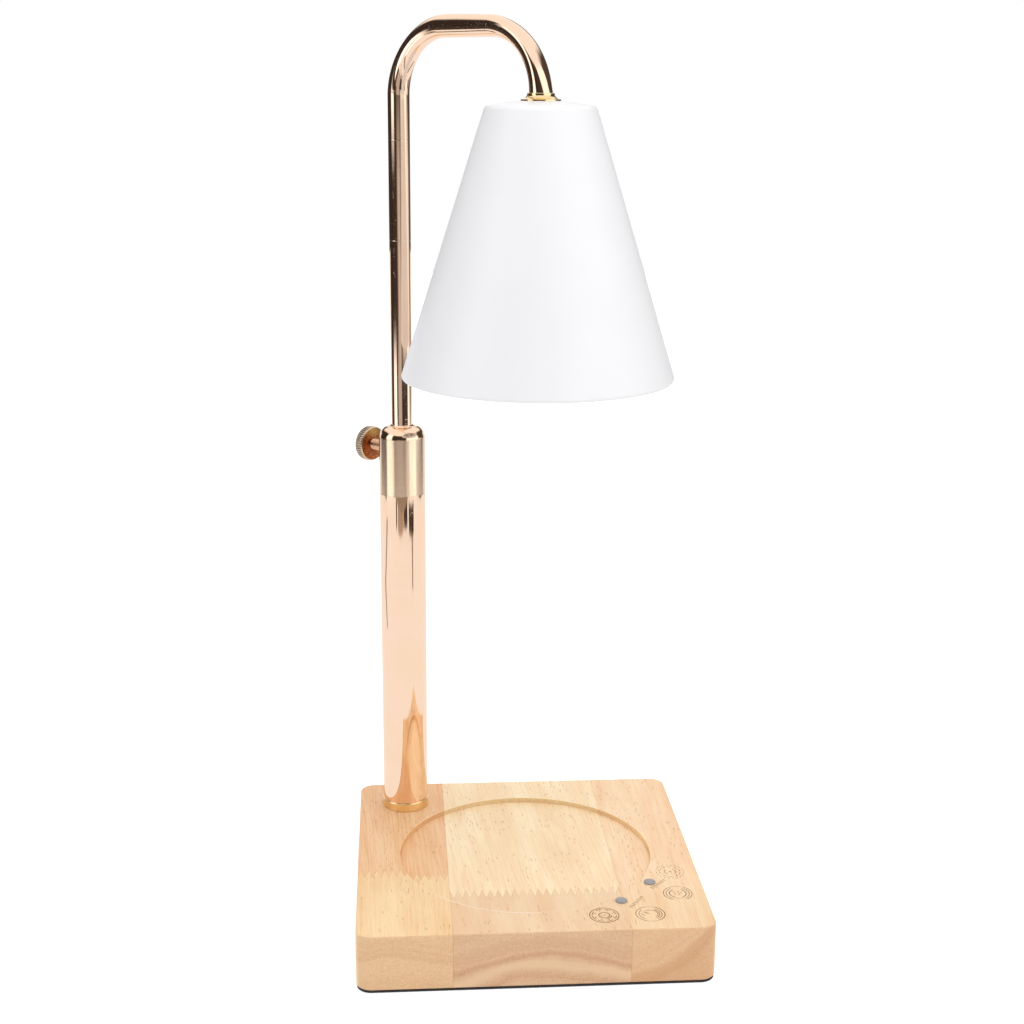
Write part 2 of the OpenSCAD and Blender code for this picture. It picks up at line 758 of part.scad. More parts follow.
// Trumpet-shaped ring round the tube's end, on top of the shade.
module shade_flange() {
    color(brass) at_shade(shade_top) rotate_extrude() polygon(concat(
        [[arm_r + seat_gap, 0], [flange_r, 0]],
        [for (a = [0 : 10 : 90])
            [flange_r - (flange_r - flange_neck_r) * sin(a), flange_edge + (flange_h - flange_edge) * (1 - cos(a))]],
        [[arm_r + seat_gap, flange_h]]));
}

module shade_nipple() { color(steel) at_shade(nipple_bottom) ring(nipple_r, nipple_bore_r, shade_top + nipple_in - nipple_bottom); }

module shade_washer() { color(steel) at_shade(locknut_top) ring(lock_washer_r, nipple_r + seat_gap, lock_washer_t); }

module shade_locknut() { color(steel) at_shade(locknut_bottom) hex_nut(locknut_af, nipple_r + seat_gap, locknut_t); }

// Where two edges with these outward directions meet, moved inwards by t.
function mitre(p, a, b, t) =
    p - t * [cos(a) + cos(b), sin(a) + sin(b)] / (1 + cos(a - b));
function bow(c, r, a, b, n) = [for (i = [0 : n]) c + r * [cos(a + (b - a) * i / n), sin(a + (b - a) * i / n)]];

// One sheet: level round the hole, sloping crown, rounded corner, straight
// side and a rim that curls inwards.
module shade() {
    crown_at = [flange_r + 1, shade_top];
    corner = [top_r, top_z];
    crown_dir = 90 - atan(crown / (top_r - crown_at[0]));
    corner_c = mitre(corner, crown_dir, lean, shade_round);
    lip_z = rim_z + lip_r;
    lip_c = [top_r + (top_z - lip_z - lip_r * sin(lean)) * slope - lip_r * cos(lean), lip_z];
    color("white") at_shade() rotate_extrude($fn = 128) polygon(concat(
        [[shade_hole_r, shade_top], crown_at],
        bow(corner_c, shade_round, crown_dir, lean, 6),
        bow(lip_c, lip_r, lean, lip_end, 8),
        bow(lip_c, lip_r - shade_t, lip_end, lean, 8),
        bow(corner_c, shade_round - shade_t, lean, crown_dir, 6),
        [mitre(crown_at, 90, crown_dir, shade_t), [shade_hole_r, shade_under]]));
}

module holder_bracket() {
    color(steel) at_shade() difference() {
        union() {
            translate([-bracket_leg_x - bracket_t, -bracket_w / 2, bracket_top - bracket_t])
                cube([2 * (bracket_leg_x + bracket_t), bracket_w, bracket_t]);
            for (s = [-1, 1]) {
                translate([s * (bracket_leg_x + bracket_t / 2) - bracket_t / 2, -bracket_w / 2, holder_top])
                    cube([bracket_t, bracket_w, bracket_top - holder_top]);
                translate([s * (bracket_leg_x + bracket_foot / 2) - bracket_foot / 2, -bracket_w / 2, holder_top])
                    cube([bracket_foot, bracket_w, bracket_t]);
            }
        }
        translate([0, 0, bracket_top - bracket_t - cut]) cylinder(r = nipple_r + seat_gap, h = bracket_t + 2 * cut);
        for (s = [-1, 1]) translate([s * holder_pitch / 2, 0, holder_top - cut])
            cylinder(r = holder_screw_r + seat_gap, h = bracket_t + 2 * cut);
    }
}

module bracket_nut() {
    color(steel) at_shade(bracket_nut_top - bracket_nut_t) hex_nut(locknut_af, nipple_r + seat_gap, bracket_nut_t);
}

// Curved slot that both pins sweep, from angle a to angle b.
module pin_sweep(r, a, b, z, h) {
    for (side = [0, 180]) translate([0, 0, z]) rotate([0, 0, side + a])
        rotate_extrude(angle = b - a) translate([pin_pitch / 2 - r, 0]) square([2 * r, h]);
}

module lampholder() {
    head_half = asin((pin_head_r + pin_slot_gap) / (pin_pitch / 2)) + 2;
    slot_half = asin((pin_r + pin_slot_gap) / (pin_pitch / 2)) + 2;
    color(ceramic) at_shade(holder_bottom) difference() {
        round_plate(holder_w, holder_d, holder_round, holder_h);
        pin_sweep(pin_head_r + pin_slot_gap, -twist - head_half, head_half, pin_slot_h, pin_room - pin_slot_h);
        pin_sweep(pin_head_r + pin_slot_gap, -twist - head_half, -twist + head_half, -cut, pin_room + cut);
        pin_sweep(pin_r + pin_slot_gap, -twist, slot_half, -cut, pin_room + cut);
        for (s = [-1, 1]) translate([s * holder_pitch / 2, 0, -cut]) {
            cylinder(r = holder_screw_r + seat_gap, h = holder_h + 2 * cut);
            cylinder(r = 2 * holder_screw_r + seat_gap, h = holder_head_t + cut);
        }
    }
}

module holder_screws() {
    color(steel) for (s = [-1, 1]) at_shade(holder_bottom) translate([s * holder_pitch / 2, 0, 0])
        wood_screw(holder_screw_r, 2 * holder_screw_r, holder_head_t, holder_h + bracket_t + 1.5 - holder_head_t);
}

module holder_contacts() {
    color(copper) for (s = [-1, 1])
        at_shade(neck_top + pin_len + 0.1) translate([s * pin_pitch / 2 - 1.5, -1.5, 0])
            cube([3, 3, holder_bottom + pin_room - neck_top - pin_len - 0.1]);
}

module bulb_neck() {
    color(ceramic) at_shade(neck_top - neck_h) cylinder(r = neck_r, h = neck_h);
}

module bulb_pins() {
    color(copper) for (s = [-1, 1]) at_shade(neck_top) translate([s * pin_pitch / 2, 0, 0]) {
        cylinder(r = pin_r, h = pin_len);
        translate([0, 0, pin_len - pin_head_t]) cylinder(r = pin_head_r, h = pin_head_t);
    }
}

// Flared reflector, open at the face and closed by the neck.
module bulb_reflector() {
    depth = neck_top - neck_h - bulb_face;
    function flare(t) = neck_r + (bulb_r - neck_r) * pow(t, 0.62);
    color([0.85, 0.85, 0.88]) at_shade(bulb_face) rotate_extrude() polygon(concat(
        [for (i = [0 : 12]) [flare(i / 12), depth * (1 - i / 12)]],
        [for (i = [12 : -1 : 0]) [flare(i / 12) - reflector_t, depth * (1 - i / 12)]]));
}

module bulb_lens() {
    color([0.9, 0.95, 1, 0.5]) at_shade(bulb_face + 0.4) cylinder(r = bulb_r - reflector_t - 0.7, h = lens_t);
}

module bulb_capsule() {
    color([0.95, 0.9, 0.7, 0.6]) at_shade(neck_top - neck_h - capsule_len) rotate_extrude() polygon(concat(
        [for (a = [-90 : 15 : 0]) capsule_r * [cos(a), 1 + sin(a)]],
        [[capsule_r, capsule_len], [0, capsule_len]]));
}

base_block();
base_pad();
cover_plate();
cover_screws();
ballast_plate();
ballast_screws();
control_board();
board_spacers();
board_screws();
board_components();
switch_bodies();
dimmer_plunger();
timer_plunger();
dimmer_button();
timer_button();
terminal_block();
terminal_screw();
lamp_leads();
board_leads();
inlet_grommet();
column_stud();
column_washer();
column_nut();
foot_flange();
column_tube();
clamp_collar();
thumb_screw();
screw_tip();
guide_bush();
arm_circlip();
arm_ferrule();
arm_tube();
arm_cable();
slack_cable();
shade_flange();
shade_nipple();
shade_washer();
shade_locknut();
shade();
holder_bracket();
bracket_nut();
lampholder();
holder_screws();
holder_contacts();
bulb_neck();
bulb_pins();
bulb_reflector();
bulb_lens();
bulb_capsule();
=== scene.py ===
# %% [markdown]
# Candle warmer lamp: how it looks.
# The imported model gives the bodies, the joints and every hidden piece. This
# script adds the camera, the visible pieces with their fine shape, the
# finishes, and plain studio light. Lengths are millimetres until MM turns
# them into metres.

# %% Frame and imports
import json
from math import atan, atan2, cos, degrees, pi, radians, sin

import bmesh
import bpy
from mathutils import Matrix, Vector


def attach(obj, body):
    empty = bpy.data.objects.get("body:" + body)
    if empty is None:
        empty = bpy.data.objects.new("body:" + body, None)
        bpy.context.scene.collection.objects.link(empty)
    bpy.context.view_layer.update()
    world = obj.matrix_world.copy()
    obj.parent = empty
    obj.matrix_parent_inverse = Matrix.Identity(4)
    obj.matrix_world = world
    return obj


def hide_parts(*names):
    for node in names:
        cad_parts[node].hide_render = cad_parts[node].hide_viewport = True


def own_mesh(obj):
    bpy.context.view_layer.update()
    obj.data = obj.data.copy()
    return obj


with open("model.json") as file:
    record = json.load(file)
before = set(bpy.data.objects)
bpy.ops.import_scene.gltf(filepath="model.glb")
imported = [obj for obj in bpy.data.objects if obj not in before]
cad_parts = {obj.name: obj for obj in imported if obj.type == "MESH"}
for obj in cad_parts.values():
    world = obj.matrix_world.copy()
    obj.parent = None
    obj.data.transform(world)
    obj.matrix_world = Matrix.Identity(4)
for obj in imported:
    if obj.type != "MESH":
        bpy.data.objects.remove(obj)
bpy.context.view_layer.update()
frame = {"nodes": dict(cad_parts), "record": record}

MM = 0.001
UP = Vector((0, 0, 1))

# %% [markdown]
# The photograph's camera, found from the square base, the recess and the
# column: a slightly raised view with a longer lens. It could be aimed with a
# constraint, but a matrix built from yaw, pitch and roll puts it where the
# fit found it.

# %% Camera
CAM_AT = Vector((-56.62, -676.45, 364.09))
YAW, PITCH, ROLL = -0.0738, -0.259, 0.0072
SENSOR, LENS = 36, 57.46


def make_camera():
    ahead = Vector((-sin(YAW) * cos(PITCH), cos(YAW) * cos(PITCH), sin(PITCH)))
    side = ahead.cross(UP).normalized()
    up = side.cross(ahead)
    right = side * cos(ROLL) + up * sin(ROLL)
    top = -side * sin(ROLL) + up * cos(ROLL)
    camera = bpy.data.objects.new("photo_camera", bpy.data.cameras.new("photo_camera"))
    bpy.context.collection.objects.link(camera)
    camera.matrix_world = Matrix.Translation(CAM_AT * MM) @ Matrix(
        [[right[i], top[i], -ahead[i]] for i in range(3)]).to_4x4()
    camera.data.sensor_width = SENSOR
    camera.data.lens = LENS
    camera.data.clip_start = 0.01
    bpy.context.scene.camera = camera


make_camera()
bpy.context.scene.view_settings.view_transform = "Standard"
print("camera ready")

# %% [markdown]
# Sizes of the visible pieces, the same as the construction's. They could be
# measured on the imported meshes, but named values keep the shapes below
# readable.

# %% Sizes
HALF, PAD_H, BLOCK_TOP, CORNER_R = 75.0, 1.2, 25.6, 6.5
RECESS_AT, RECESS_R, RECESS_FLOOR = (0.4, -1.4), 56.62, 23.35
RABBET_IN, RABBET_TOP = 3.0, 2.7
HOLLOW_IN, HOLLOW_LOW, HOLLOW_TOP = 13.0, 2.0, 15.0
POCKET_R, STUD_HOLE_R = 12.0, 5.05
INLET_AT, INLET_R = (20, 55, 9.15), 4.55
COVER_HOLE_AT, COVER_HOLE_R, COVER_HOLE_TOP = 67, 1.8, 14.7
COLUMN_AT, COLUMN_R, COLUMN_IN = (-53.1, 52.8), 10.5, 9.5
SPIGOT_R, SPIGOT_TOP, FOOT_R = 9.45, 37.8, 10.85
TUBE_Z, COLLAR_Z, COLLAR_TOP = 29.8, 180.6, 211.6
ARM_R, ARM_IN, ARM_END, ARM_Z = 4.75, 3.75, 162.8, 385.2
ARM_DIR = radians(-46.6)
REACH, BEND_A, BEND_B = 82.0, 28.4, 26.0
SHADE_AT = (COLUMN_AT[0] + REACH * cos(ARM_DIR), COLUMN_AT[1] + REACH * sin(ARM_DIR))
SHADE_TOP, TOP_Z, RIM_Z, RIM_R, TOP_R = 355.7, 353.9, 243.8, 57.1, 22.4
SHEET, LIP_R, SHADE_ROUND = 0.8, 1.2, 3.0
FLANGE_R, FLANGE_H = 8.1, 3.1
KEYS, KEY_R, KEY_HOLE_R = ((37.6, -50.4), (52.2, -34.6)), 2.5, 2.56
KEY_LIP_R, KEY_LOW, KEY_EDGE, KEY_DOME = 3.6, 13.6, 26.05, 0.55
SCREW_Z, SCREW_HOLE_R, HEAD_AT, HEAD_T, HEAD_R = 200.2, 2.56, 19.0, 4.5, 8.0
BULB_FACE, BULB_R, NECK_R, NECK_Z = 278.7, 25.0, 11.0, 314.7
FLEX_R, SLACK_R = 2.3, 2.4
FULL = 2 * pi
print("base:", 2 * HALF, "mm wide, arm:", REACH, "mm reach, column:", 2 * COLUMN_R, "mm across")

# %% [markdown]
# Mesh tools: a skin over loops, a body of revolution, and a rounded square.
# Most pieces of a lamp are turned or bent, so rings of points joined by faces
# suit them: each edge lies where a real tool leaves it. Only holes and
# hollows are cut, with Boolean modifiers that are applied at once.

# %% Mesh tools


def add_mesh(name, verts, faces, sharp=35):
    mesh = bpy.data.meshes.new(name)
    mesh.from_pydata([Vector(v) * MM for v in verts], [], faces)
    tool = bmesh.new()
    tool.from_mesh(mesh)
    bmesh.ops.recalc_face_normals(tool, faces=tool.faces)
    tool.to_mesh(mesh)
    tool.free()
    mesh.shade_smooth()
    mesh.set_sharp_from_angle(angle=radians(sharp))
    piece = bpy.data.objects.new(name, mesh)
    bpy.context.collection.objects.link(piece)
    return piece


def loft(name, loops, closed=False, sharp=35):
    """A skin over loops of the same number of points. Its ends meet, or each has a cap."""
    n, rows, faces = len(loops[0]), len(loops), []
    for i in range(rows if closed else rows - 1):
        a, b = i * n, (i + 1) % rows * n
        faces += [(a + k, a + (k + 1) % n, b + (k + 1) % n, b + k) for k in range(n)]
    if not closed:
        faces += [tuple(range(n - 1, -1, -1)), tuple((rows - 1) * n + k for k in range(n))]
    return add_mesh(name, [point for loop in loops for point in loop], faces, sharp)


def ring(r, z, n):
    """n points round the z axis. The radius may be a function of the angle."""
    angles = [FULL * k / n for k in range(n)]
    radii = [r(a) if callable(r) else r for a in angles]
    return [Vector((q * cos(a), q * sin(a), z)) for q, a in zip(radii, angles)]


def moved(loop, to):
    """The loop's points, moved sideways by (x, y), or placed by a matrix."""
    if isinstance(to, Matrix):
        return [to @ point for point in loop]
    return [point + Vector((*to, 0)) for point in loop]


def lathe(name, profile, at, n=128, closed=True, sharp=35):
    """Turns (r, z) points about the z axis, then moves them."""
    return loft(name, [moved(ring(r, z, n), at) for r, z in profile], closed, sharp)


def polar(r, angle):
    return r * cos(radians(angle)), r * sin(radians(angle))


def arc(cx, cy, r, a, b, n=8):
    """Points on an arc, from one angle to another in degrees."""
    return [(cx + x, cy + y) for x, y in (polar(r, a + (b - a) * i / n) for i in range(n + 1))]


def square_loop(half, r, z):
    """A rounded square seen from above, counterclockwise from its front right corner."""
    points, straight, middle = [], 24, half - r
    for corner, (sx, sy) in enumerate(((1, -1), (1, 1), (-1, 1), (-1, -1))):
        turn = -90 + 90 * corner
        points += [Vector((x, y, z)) for x, y in arc(middle * sx, middle * sy, r, turn, turn + 90, 12)]
        end, ahead = points[-1], Vector((*polar(1, turn + 180), 0))
        points += [end + ahead * (2 * middle * i / straight) for i in range(1, straight)]
    return points


def base_loop(inset, z):
    """The base's outline, drawn in by inset."""
    return square_loop(HALF - inset, CORNER_R - inset, z)


def rod(at, r, z0, z1, n=64):
    """A cutter for a round hole."""
    return lathe("cutter", [(r, z0), (r, z1)], at, n, closed=False)


def carve(piece, *tools):
    """Cuts the tools out of the piece and removes them."""
    for tool in tools:
        step = piece.modifiers.new("cut", "BOOLEAN")
        step.operation, step.object, step.solver = "DIFFERENCE", tool, "EXACT"
    mesh = bpy.data.meshes.new_from_object(piece.evaluated_get(bpy.context.evaluated_depsgraph_get()))
    piece.modifiers.clear()
    piece.data = mesh
    for tool in tools:
        bpy.data.objects.remove(tool)
    mesh.shade_smooth()
    mesh.set_sharp_from_angle(angle=radians(35))
    piece.modifiers.new("even_normals", "WEIGHTED_NORMAL").keep_sharp = True
    return piece


def finish(piece, body, material, nodes=()):
    piece.data.materials.clear()
    piece.data.materials.append(material)
    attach(piece, body)
    if nodes:
        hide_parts(*nodes)


print("mesh tools ready")

# %% [markdown]
# Node tools: arithmetic with a node's output adds the Math nodes. Nodes could
# be wired one by one, as in the editor. A short formula says the same and can
# be read.

# %% Node tools


class Value:
    """A node's output, and the nodes that are worked out from it."""

    def __init__(self, net, socket):
        self.net = net
        self.socket = socket

    def __add__(self, other):
        return self.net.math("ADD", self, other)

    def __sub__(self, other):
        return self.net.math("SUBTRACT", self, other)

    def __rsub__(self, other):
        return self.net.math("SUBTRACT", other, self)

    def __mul__(self, other):
        return self.net.math("MULTIPLY", self, other)

    def __abs__(self):
        return self.net.math("ABSOLUTE", self)

    def most(self, other):
        return self.net.math("MAXIMUM", self, other)

    def least(self, other):
        return self.net.math("MINIMUM", self, other)

    def step(self, low, high, out_low=0.0, out_high=1.0):
        """Changes smoothly from out_low to out_high, while this value goes from low to high."""
        return self.net.add("MapRange", {"Value": self, "From Min": low, "From Max": high,
                                         "To Min": out_low, "To Max": out_high}, "Result",
                            interpolation_type="SMOOTHSTEP")

    def fall(self, low, high):
        return self.step(low, high, 1.0, 0.0)

    def near(self, at, core, edge, peak=1.0):
        """The peak where this value is within core of at, and nothing beyond edge."""
        return abs(self - at).step(core, edge, peak, 0.0)

    def length(self):
        return self.net.add("VectorMath", {0: self}, "Value", operation="LENGTH")

    def scaled(self, factor):
        return self.net.add("VectorMath", {0: self, "Scale": factor}, operation="SCALE")

    def split(self):
        return self.net.parts("SeparateXYZ", {"Vector": self}).values()

    def noise(self, scale, detail=2.0, roughness=0.5):
        return self.net.add("TexNoise", {"Vector": self, "Scale": scale, "Detail": detail,
                                         "Roughness": roughness}, "Fac")

    def stretched(self, scale):
        return self.net.add("Mapping", {"Vector": self, "Scale": scale})

    def drawn(self, scale, detail=2.0, roughness=0.5):
        """Noise with a scale for each direction, so it is drawn out along the smallest."""
        return self.stretched(scale).noise(1.0, detail, roughness)

    def shade(self, factor, by):
        """This colour, multiplied by another as far as the factor says."""
        return self.net.mix(factor, self, self.net.mix(1.0, self, by, "MULTIPLY"))


class Net:
    """A tree of nodes. Nodes are added with their inputs set or linked in one call."""

    def __init__(self, tree):
        self.tree = tree

    def put(self, socket, value):
        """Links a value to an input, or sets the input."""
        if isinstance(value, Value):
            self.tree.links.new(value.socket, socket)
        else:
            socket.default_value = value

    def node(self, kind, sockets=(), **settings):
        node = self.tree.nodes.new("ShaderNode" + kind)
        for key, value in settings.items():
            setattr(node, key, value)
        for key, value in dict(sockets).items():
            self.put(node.inputs[key], value)
        return node

    def add(self, kind, sockets=(), out=0, **settings):
        """One output of a new node."""
        return Value(self, self.node(kind, sockets, **settings).outputs[out])

    def parts(self, kind, sockets=(), **settings):
        """Every output of a new node, by its name."""
        return {socket.name: Value(self, socket) for socket in self.node(kind, sockets, **settings).outputs}

    def math(self, operation, a, b=0.0):
        return self.add("Math", {0: a, 1: b}, operation=operation)

    def vector(self, operation, a, b, out=0):
        return self.add("VectorMath", {0: a, 1: b}, out, operation=operation)

    def join(self, x=0.0, y=0.0, z=0.0):
        return self.add("CombineXYZ", {0: x, 1: y, 2: z})

    def spot(self):
        """Where a point is on its piece, in metres."""
        return self.add("TexCoord", out="Object")

    def mix(self, factor, a, b, mode="MIX"):
        node = self.node("Mix", data_type="RGBA", blend_type=mode)
        inputs = {socket.identifier: socket for socket in node.inputs}
        self.put(inputs["Factor_Float"], factor)
        for name, color in (("A_Color", a), ("B_Color", b)):
            self.put(inputs[name], color if isinstance(color, Value) else (*color, 1.0))
        return Value(self, next(s for s in node.outputs if s.identifier == "Result_Color"))

    def bump(self, height, distance_mm, strength=1.0):
        return self.add("Bump", {"Height": height, "Distance": distance_mm * MM, "Strength": strength})

    def shader(self, **values):
        """Sets the Principled shader's inputs. An underscore stands for a space."""
        for key, value in values.items():
            self.put(self.tree.nodes["Principled BSDF"].inputs[key.replace("_", " ")], value)

    def surface(self, value):
        self.put(self.tree.nodes["Material Output"].inputs["Surface"], value)

    def answer(self, **values):
        """Links a group's outputs, and gives the finished group."""
        ends = self.tree.nodes.new("NodeGroupOutput").inputs
        for key, value in values.items():
            self.put(ends[key.replace("_", " ")], value)
        return self.tree


def group(name, ins, outs):
    """A node group's Net and inputs, from {name: type} in and out."""
    tree = bpy.data.node_groups.new(name, "ShaderNodeTree")
    for way, sockets in (("INPUT", ins), ("OUTPUT", outs)):
        for key, kind in sockets.items():
            tree.interface.new_socket(key, in_out=way, socket_type="NodeSocket" + kind)
    net = Net(tree)
    return net, {socket.name: Value(net, socket) for socket in tree.nodes.new("NodeGroupInput").outputs}


def new_material(name):
    material = bpy.data.materials.new(name)
    material.use_nodes = True
    return material, Net(material.node_tree)


def srgb(r, g, b):
    """A colour from 0-255 screen values."""
    return tuple((c / 255 / 12.92) if c <= 10 else ((c / 255 + 0.055) / 1.055) ** 2.4 for c in (r, g, b))


print("node tools ready")

# %% [markdown]
# Fine grain: what every moulded, plated or coated surface has. A slow cloud
# varies the colour a little, a fine speckle gives the surface its tooth. A
# picture could do this too, but noise has no seams. It is one node group,
# because many finishes share it.

# %% Fine grain
CLOUD_SCALE, SPECK_SCALE = 90.0, 2600.0


def make_fine_grain():
    net, given = group("Fine grain", {"Color": "Color", "Variation": "Float", "Size": "Float"},
                       {"Color": "Color", "Roughness shift": "Float", "Height": "Float"})
    spot, size, variation = net.spot(), given["Size"], given["Variation"]
    slow = spot.noise(net.math("DIVIDE", CLOUD_SCALE, size), 3.0)
    fine = spot.noise(net.math("DIVIDE", SPECK_SCALE, size), 3.0, 0.6)
    tone = (fine - 0.5) * (variation * 0.6) + ((slow - 0.5) * variation + 1.0)
    return net.answer(Color=net.mix(1.0, given["Color"], net.join(tone, tone, tone), "MULTIPLY"),
                      Roughness_shift=(slow - 0.5) * 0.25, Height=fine)


FINE_GRAIN = make_fine_grain()


def grained(name, color, rough, metal=0.0, variation=0.12, size=1.0, tooth=0.01, **more):
    """A material made of Fine grain alone."""
    material, net = new_material(name)
    grain = net.parts("Group", {"Color": (*color, 1), "Variation": variation, "Size": size},
                      node_tree=FINE_GRAIN)
    net.shader(Base_Color=grain["Color"], Metallic=metal, Roughness=grain["Roughness shift"] + rough,
               Normal=net.bump(grain["Height"], tooth), **more)
    return material


print("fine grain ready")

# %% [markdown]
# The base's wood. It is a block glued up from three staves, each of which is
# made of shorter pieces joined end to end with finger joints. Every piece is
# cut from another board, so its tone, rings and fibres differ. The pattern is
# solid: it runs through the block, so the front face shows end grain, where
# the rings are arcs round the heart of the tree.

# %% Wood
SEAM_LEFT, SEAM_RIGHT = -35.0, 39.0
FINGER, FINGER_SLOPE = 1.75, 4.0
PORE_BROWN, HOLE_BROWN, PALE_RING = srgb(176, 112, 68), srgb(140, 96, 66), srgb(232, 198, 156)
# the colour of the painted highlight on the recess's lip
LIP_HIGHLIGHT_PALE = (1.0, 0.95, 0.88)


def make_dashes():
    """Pores: short dark dashes along Y, one for some of the cells of a grid."""
    net, given = group("Wood pores", {"Vector": "Vector", "Density": "Float"}, {"Mask": "Float"})
    cells = net.parts("TexVoronoi", {"Vector": given["Vector"].stretched((1.25, 0.15, 1.25)), "Scale": 1.0},
                      feature="F1")
    cell_red, _, _ = cells["Color"].split()
    chosen = net.math("LESS_THAN", cell_red, given["Density"])
    return net.answer(Mask=cells["Distance"].fall(0.10, 0.30) * chosen)


class Boards:
    """Where a point of the block is: in which stave and board, and where in its tree."""

    def __init__(self, net, vector):
        self.spot = vector.scaled(1000.0)
        self.x, self.y, self.z = self.spot.split()
        self.right = net.math("GREATER_THAN", self.x, SEAM_RIGHT)
        stave = self.right + net.math("GREATER_THAN", self.x, SEAM_LEFT)
        # finger joints: a zigzag across the left and middle staves
        zigzag = net.math("PINGPONG", self.x, FINGER) * FINGER_SLOPE
        self.edge = self.y + zigzag - (stave * -17.0 - 16.0)
        self.front = self.edge.fall(-0.3, 0.3) * (1.0 - self.right)
        self.left = 1.0 - stave.least(1.0)
        self.middle = 1.0 - self.left - self.right
        # each board has its own place and lean in the tree
        board = stave * 2.0 + net.math("ROUND", self.front)
        pick = net.parts("TexWhiteNoise", {"W": board}, noise_dimensions="1D")
        self.placed = net.vector("ADD", self.spot, pick["Color"].scaled(90.0))
        lean = (pick["Value"] + 0.1) * -0.09
        self.along = net.add("VectorRotate", {"Vector": self.placed, "Angle": lean}, rotation_type="Z_AXIS")
        # rings: distance from the heart of each board, in the plane of the end grain
        heart_x = self.left * -62.0 + (self.right * 14.0 + 6.0)
        heart_z = self.left * 40.0 + (self.right * 160.0 - 90.0)
        warp = (self.placed.drawn((0.05, 0.012, 0.05)) - 0.5) * 9.0
        self.reach = net.join(self.x - heart_x, self.z - heart_z).length() + warp
        self.rings = net.join(self.reach, board).noise(0.17, 3.0, 0.55)


def board_tone(net, at):
    """The plain tone of each board."""
    left = net.mix(at.front, srgb(247, 206, 160), srgb(250, 220, 172))
    middle = net.mix(at.front, srgb(254, 232, 192), srgb(241, 210, 170))
    right = net.mix(at.y.fall(-62.0, -18.0), srgb(251, 221, 182), srgb(245, 215, 172))
    return net.mix(at.right, net.mix(at.left, middle, left), right)


def long_grain(net, at, tone, fibre, fine, pores):
    """The faces along the boards: patches, soft rings, fibres and pores."""
    patch = at.along.drawn((0.11, 0.02, 0.11))
    wood = tone.shade(patch.step(0.36, 0.62, 0.0, 0.70), (0.95, 0.85, 0.77))
    wood = wood.shade(at.rings.step(0.42, 0.60, 0.0, 0.60), (0.95, 0.86, 0.77))
    strong = (at.left - at.front) * 0.35 + 0.5
    wood = wood.shade(fibre.step(0.44, 0.66) * strong, (0.92, 0.80, 0.69))
    wood = wood.shade(fine.step(0.52, 0.72, 0.0, 0.50), (0.86, 0.72, 0.60))
    return net.mix(pores * 0.62, wood, PORE_BROWN)


def end_grain(net, at, tone):
    """The faces across the boards: darker, dotted, with clear rings."""
    dots = at.placed.noise(2.3, 3.0, 0.7)
    streaks = at.placed.drawn((0.35, 0.35, 2.6), 3.0, 0.65)
    wood = net.mix(1.0, tone, net.mix(at.right, (0.855, 0.775, 0.765), (0.88, 0.785, 0.74)), "MULTIPLY")
    wood = wood.shade(streaks.step(0.44, 0.66, 0.0, 0.35), (0.88, 0.80, 0.72))
    wood = wood.shade(dots.step(0.40, 0.66, 0.0, 0.90), (0.86, 0.77, 0.68))
    wood = wood.shade(at.rings.step(0.35, 0.70, 0.0, 0.55), (0.86, 0.76, 0.68))
    # the middle board has one pale ring between two dark ones
    dark = at.reach.near(105.0, 0.2, 2.2, 0.8).most(at.reach.near(95.0, 0.2, 1.8, 0.7))
    dark = dark * at.middle + at.reach.step(66.0, 70.0, 0.0, 0.75) * at.right
    wood = wood.shade(dark, (0.90, 0.80, 0.74))
    wood = net.mix(at.reach.near(100.0, 0.6, 3.6, 0.75) * at.middle, wood, PALE_RING)
    holes = at.placed.noise(3.4, 1.0).step(0.70, 0.80, 0.0, 0.35)
    return net.mix(holes, wood, HOLE_BROWN)


def recess_painted_light(net, at, wood):
    """The recess's low wall: painted light lightens it, as if its sides lit each other, and a painted
    shadow darkens its foot.
    """
    outward = net.join(at.x - RECESS_AT[0], at.y - RECESS_AT[1]).length()
    wall = outward.step(RECESS_R - 0.30, RECESS_R - 0.05)
    wall = wall * outward.fall(RECESS_R + 0.12, RECESS_R + 0.25)
    # painted light: the wall is lightened where it stands in shade
    wood = wood.shade(wall, (1.18, 1.30, 1.20))
    # painted shadow: a dark band along the foot of the wall
    wood = wood.shade(outward.near(RECESS_R - 0.15, 0.04, 0.28, 0.55), (0.62, 0.46, 0.34))
    # a painted highlight lightens the lip, most of all at the front left
    lip_highlight = at.y.fall(-46.0, -34.0) * at.x.step(-6.0, 14.0, 1.0, 0.2)
    return net.mix(outward.near(RECESS_R + 0.28, 0.12, 0.32, 0.75) * lip_highlight, wood, LIP_HIGHLIGHT_PALE)


def glue_lines(at):
    seam = abs(at.x - SEAM_RIGHT).least(abs(at.x - SEAM_LEFT))
    finger = abs(at.edge) + at.right * 9.0
    return seam.fall(0.02, 0.30).most(finger.step(0.1, 0.9, 0.8, 0.0))


def make_wood():
    dashes = make_dashes()
    net, given = group("Finger jointed wood", {"Vector": "Vector"},
                       {"Color": "Color", "Roughness": "Float", "Height": "Float"})
    at = Boards(net, given["Vector"])
    tone = board_tone(net, at)
    fibre = at.along.drawn((1.5, 0.030, 1.5), 3.0, 0.6)
    fine = at.along.drawn((4.6, 0.11, 4.6), 2.0, 0.6)
    thick = at.along.drawn((0.07, 0.03, 0.07)).step(0.42, 0.62, 0.06, 0.74)
    pores = net.add("Group", {"Vector": at.along, "Density": thick}, node_tree=dashes)
    _, facing, _ = net.add("TexCoord", out="Normal").split()
    wood = net.mix(abs(facing).step(0.25, 0.70), long_grain(net, at, tone, fibre, fine, pores),
                   end_grain(net, at, tone))
    line = glue_lines(at)
    wood = recess_painted_light(net, at, wood).shade(line * 0.32, (0.62, 0.44, 0.30))
    return net.answer(Color=wood, Roughness=fibre * 0.14 + 0.42, Height=fine * 0.5 - (pores + line * 0.6))


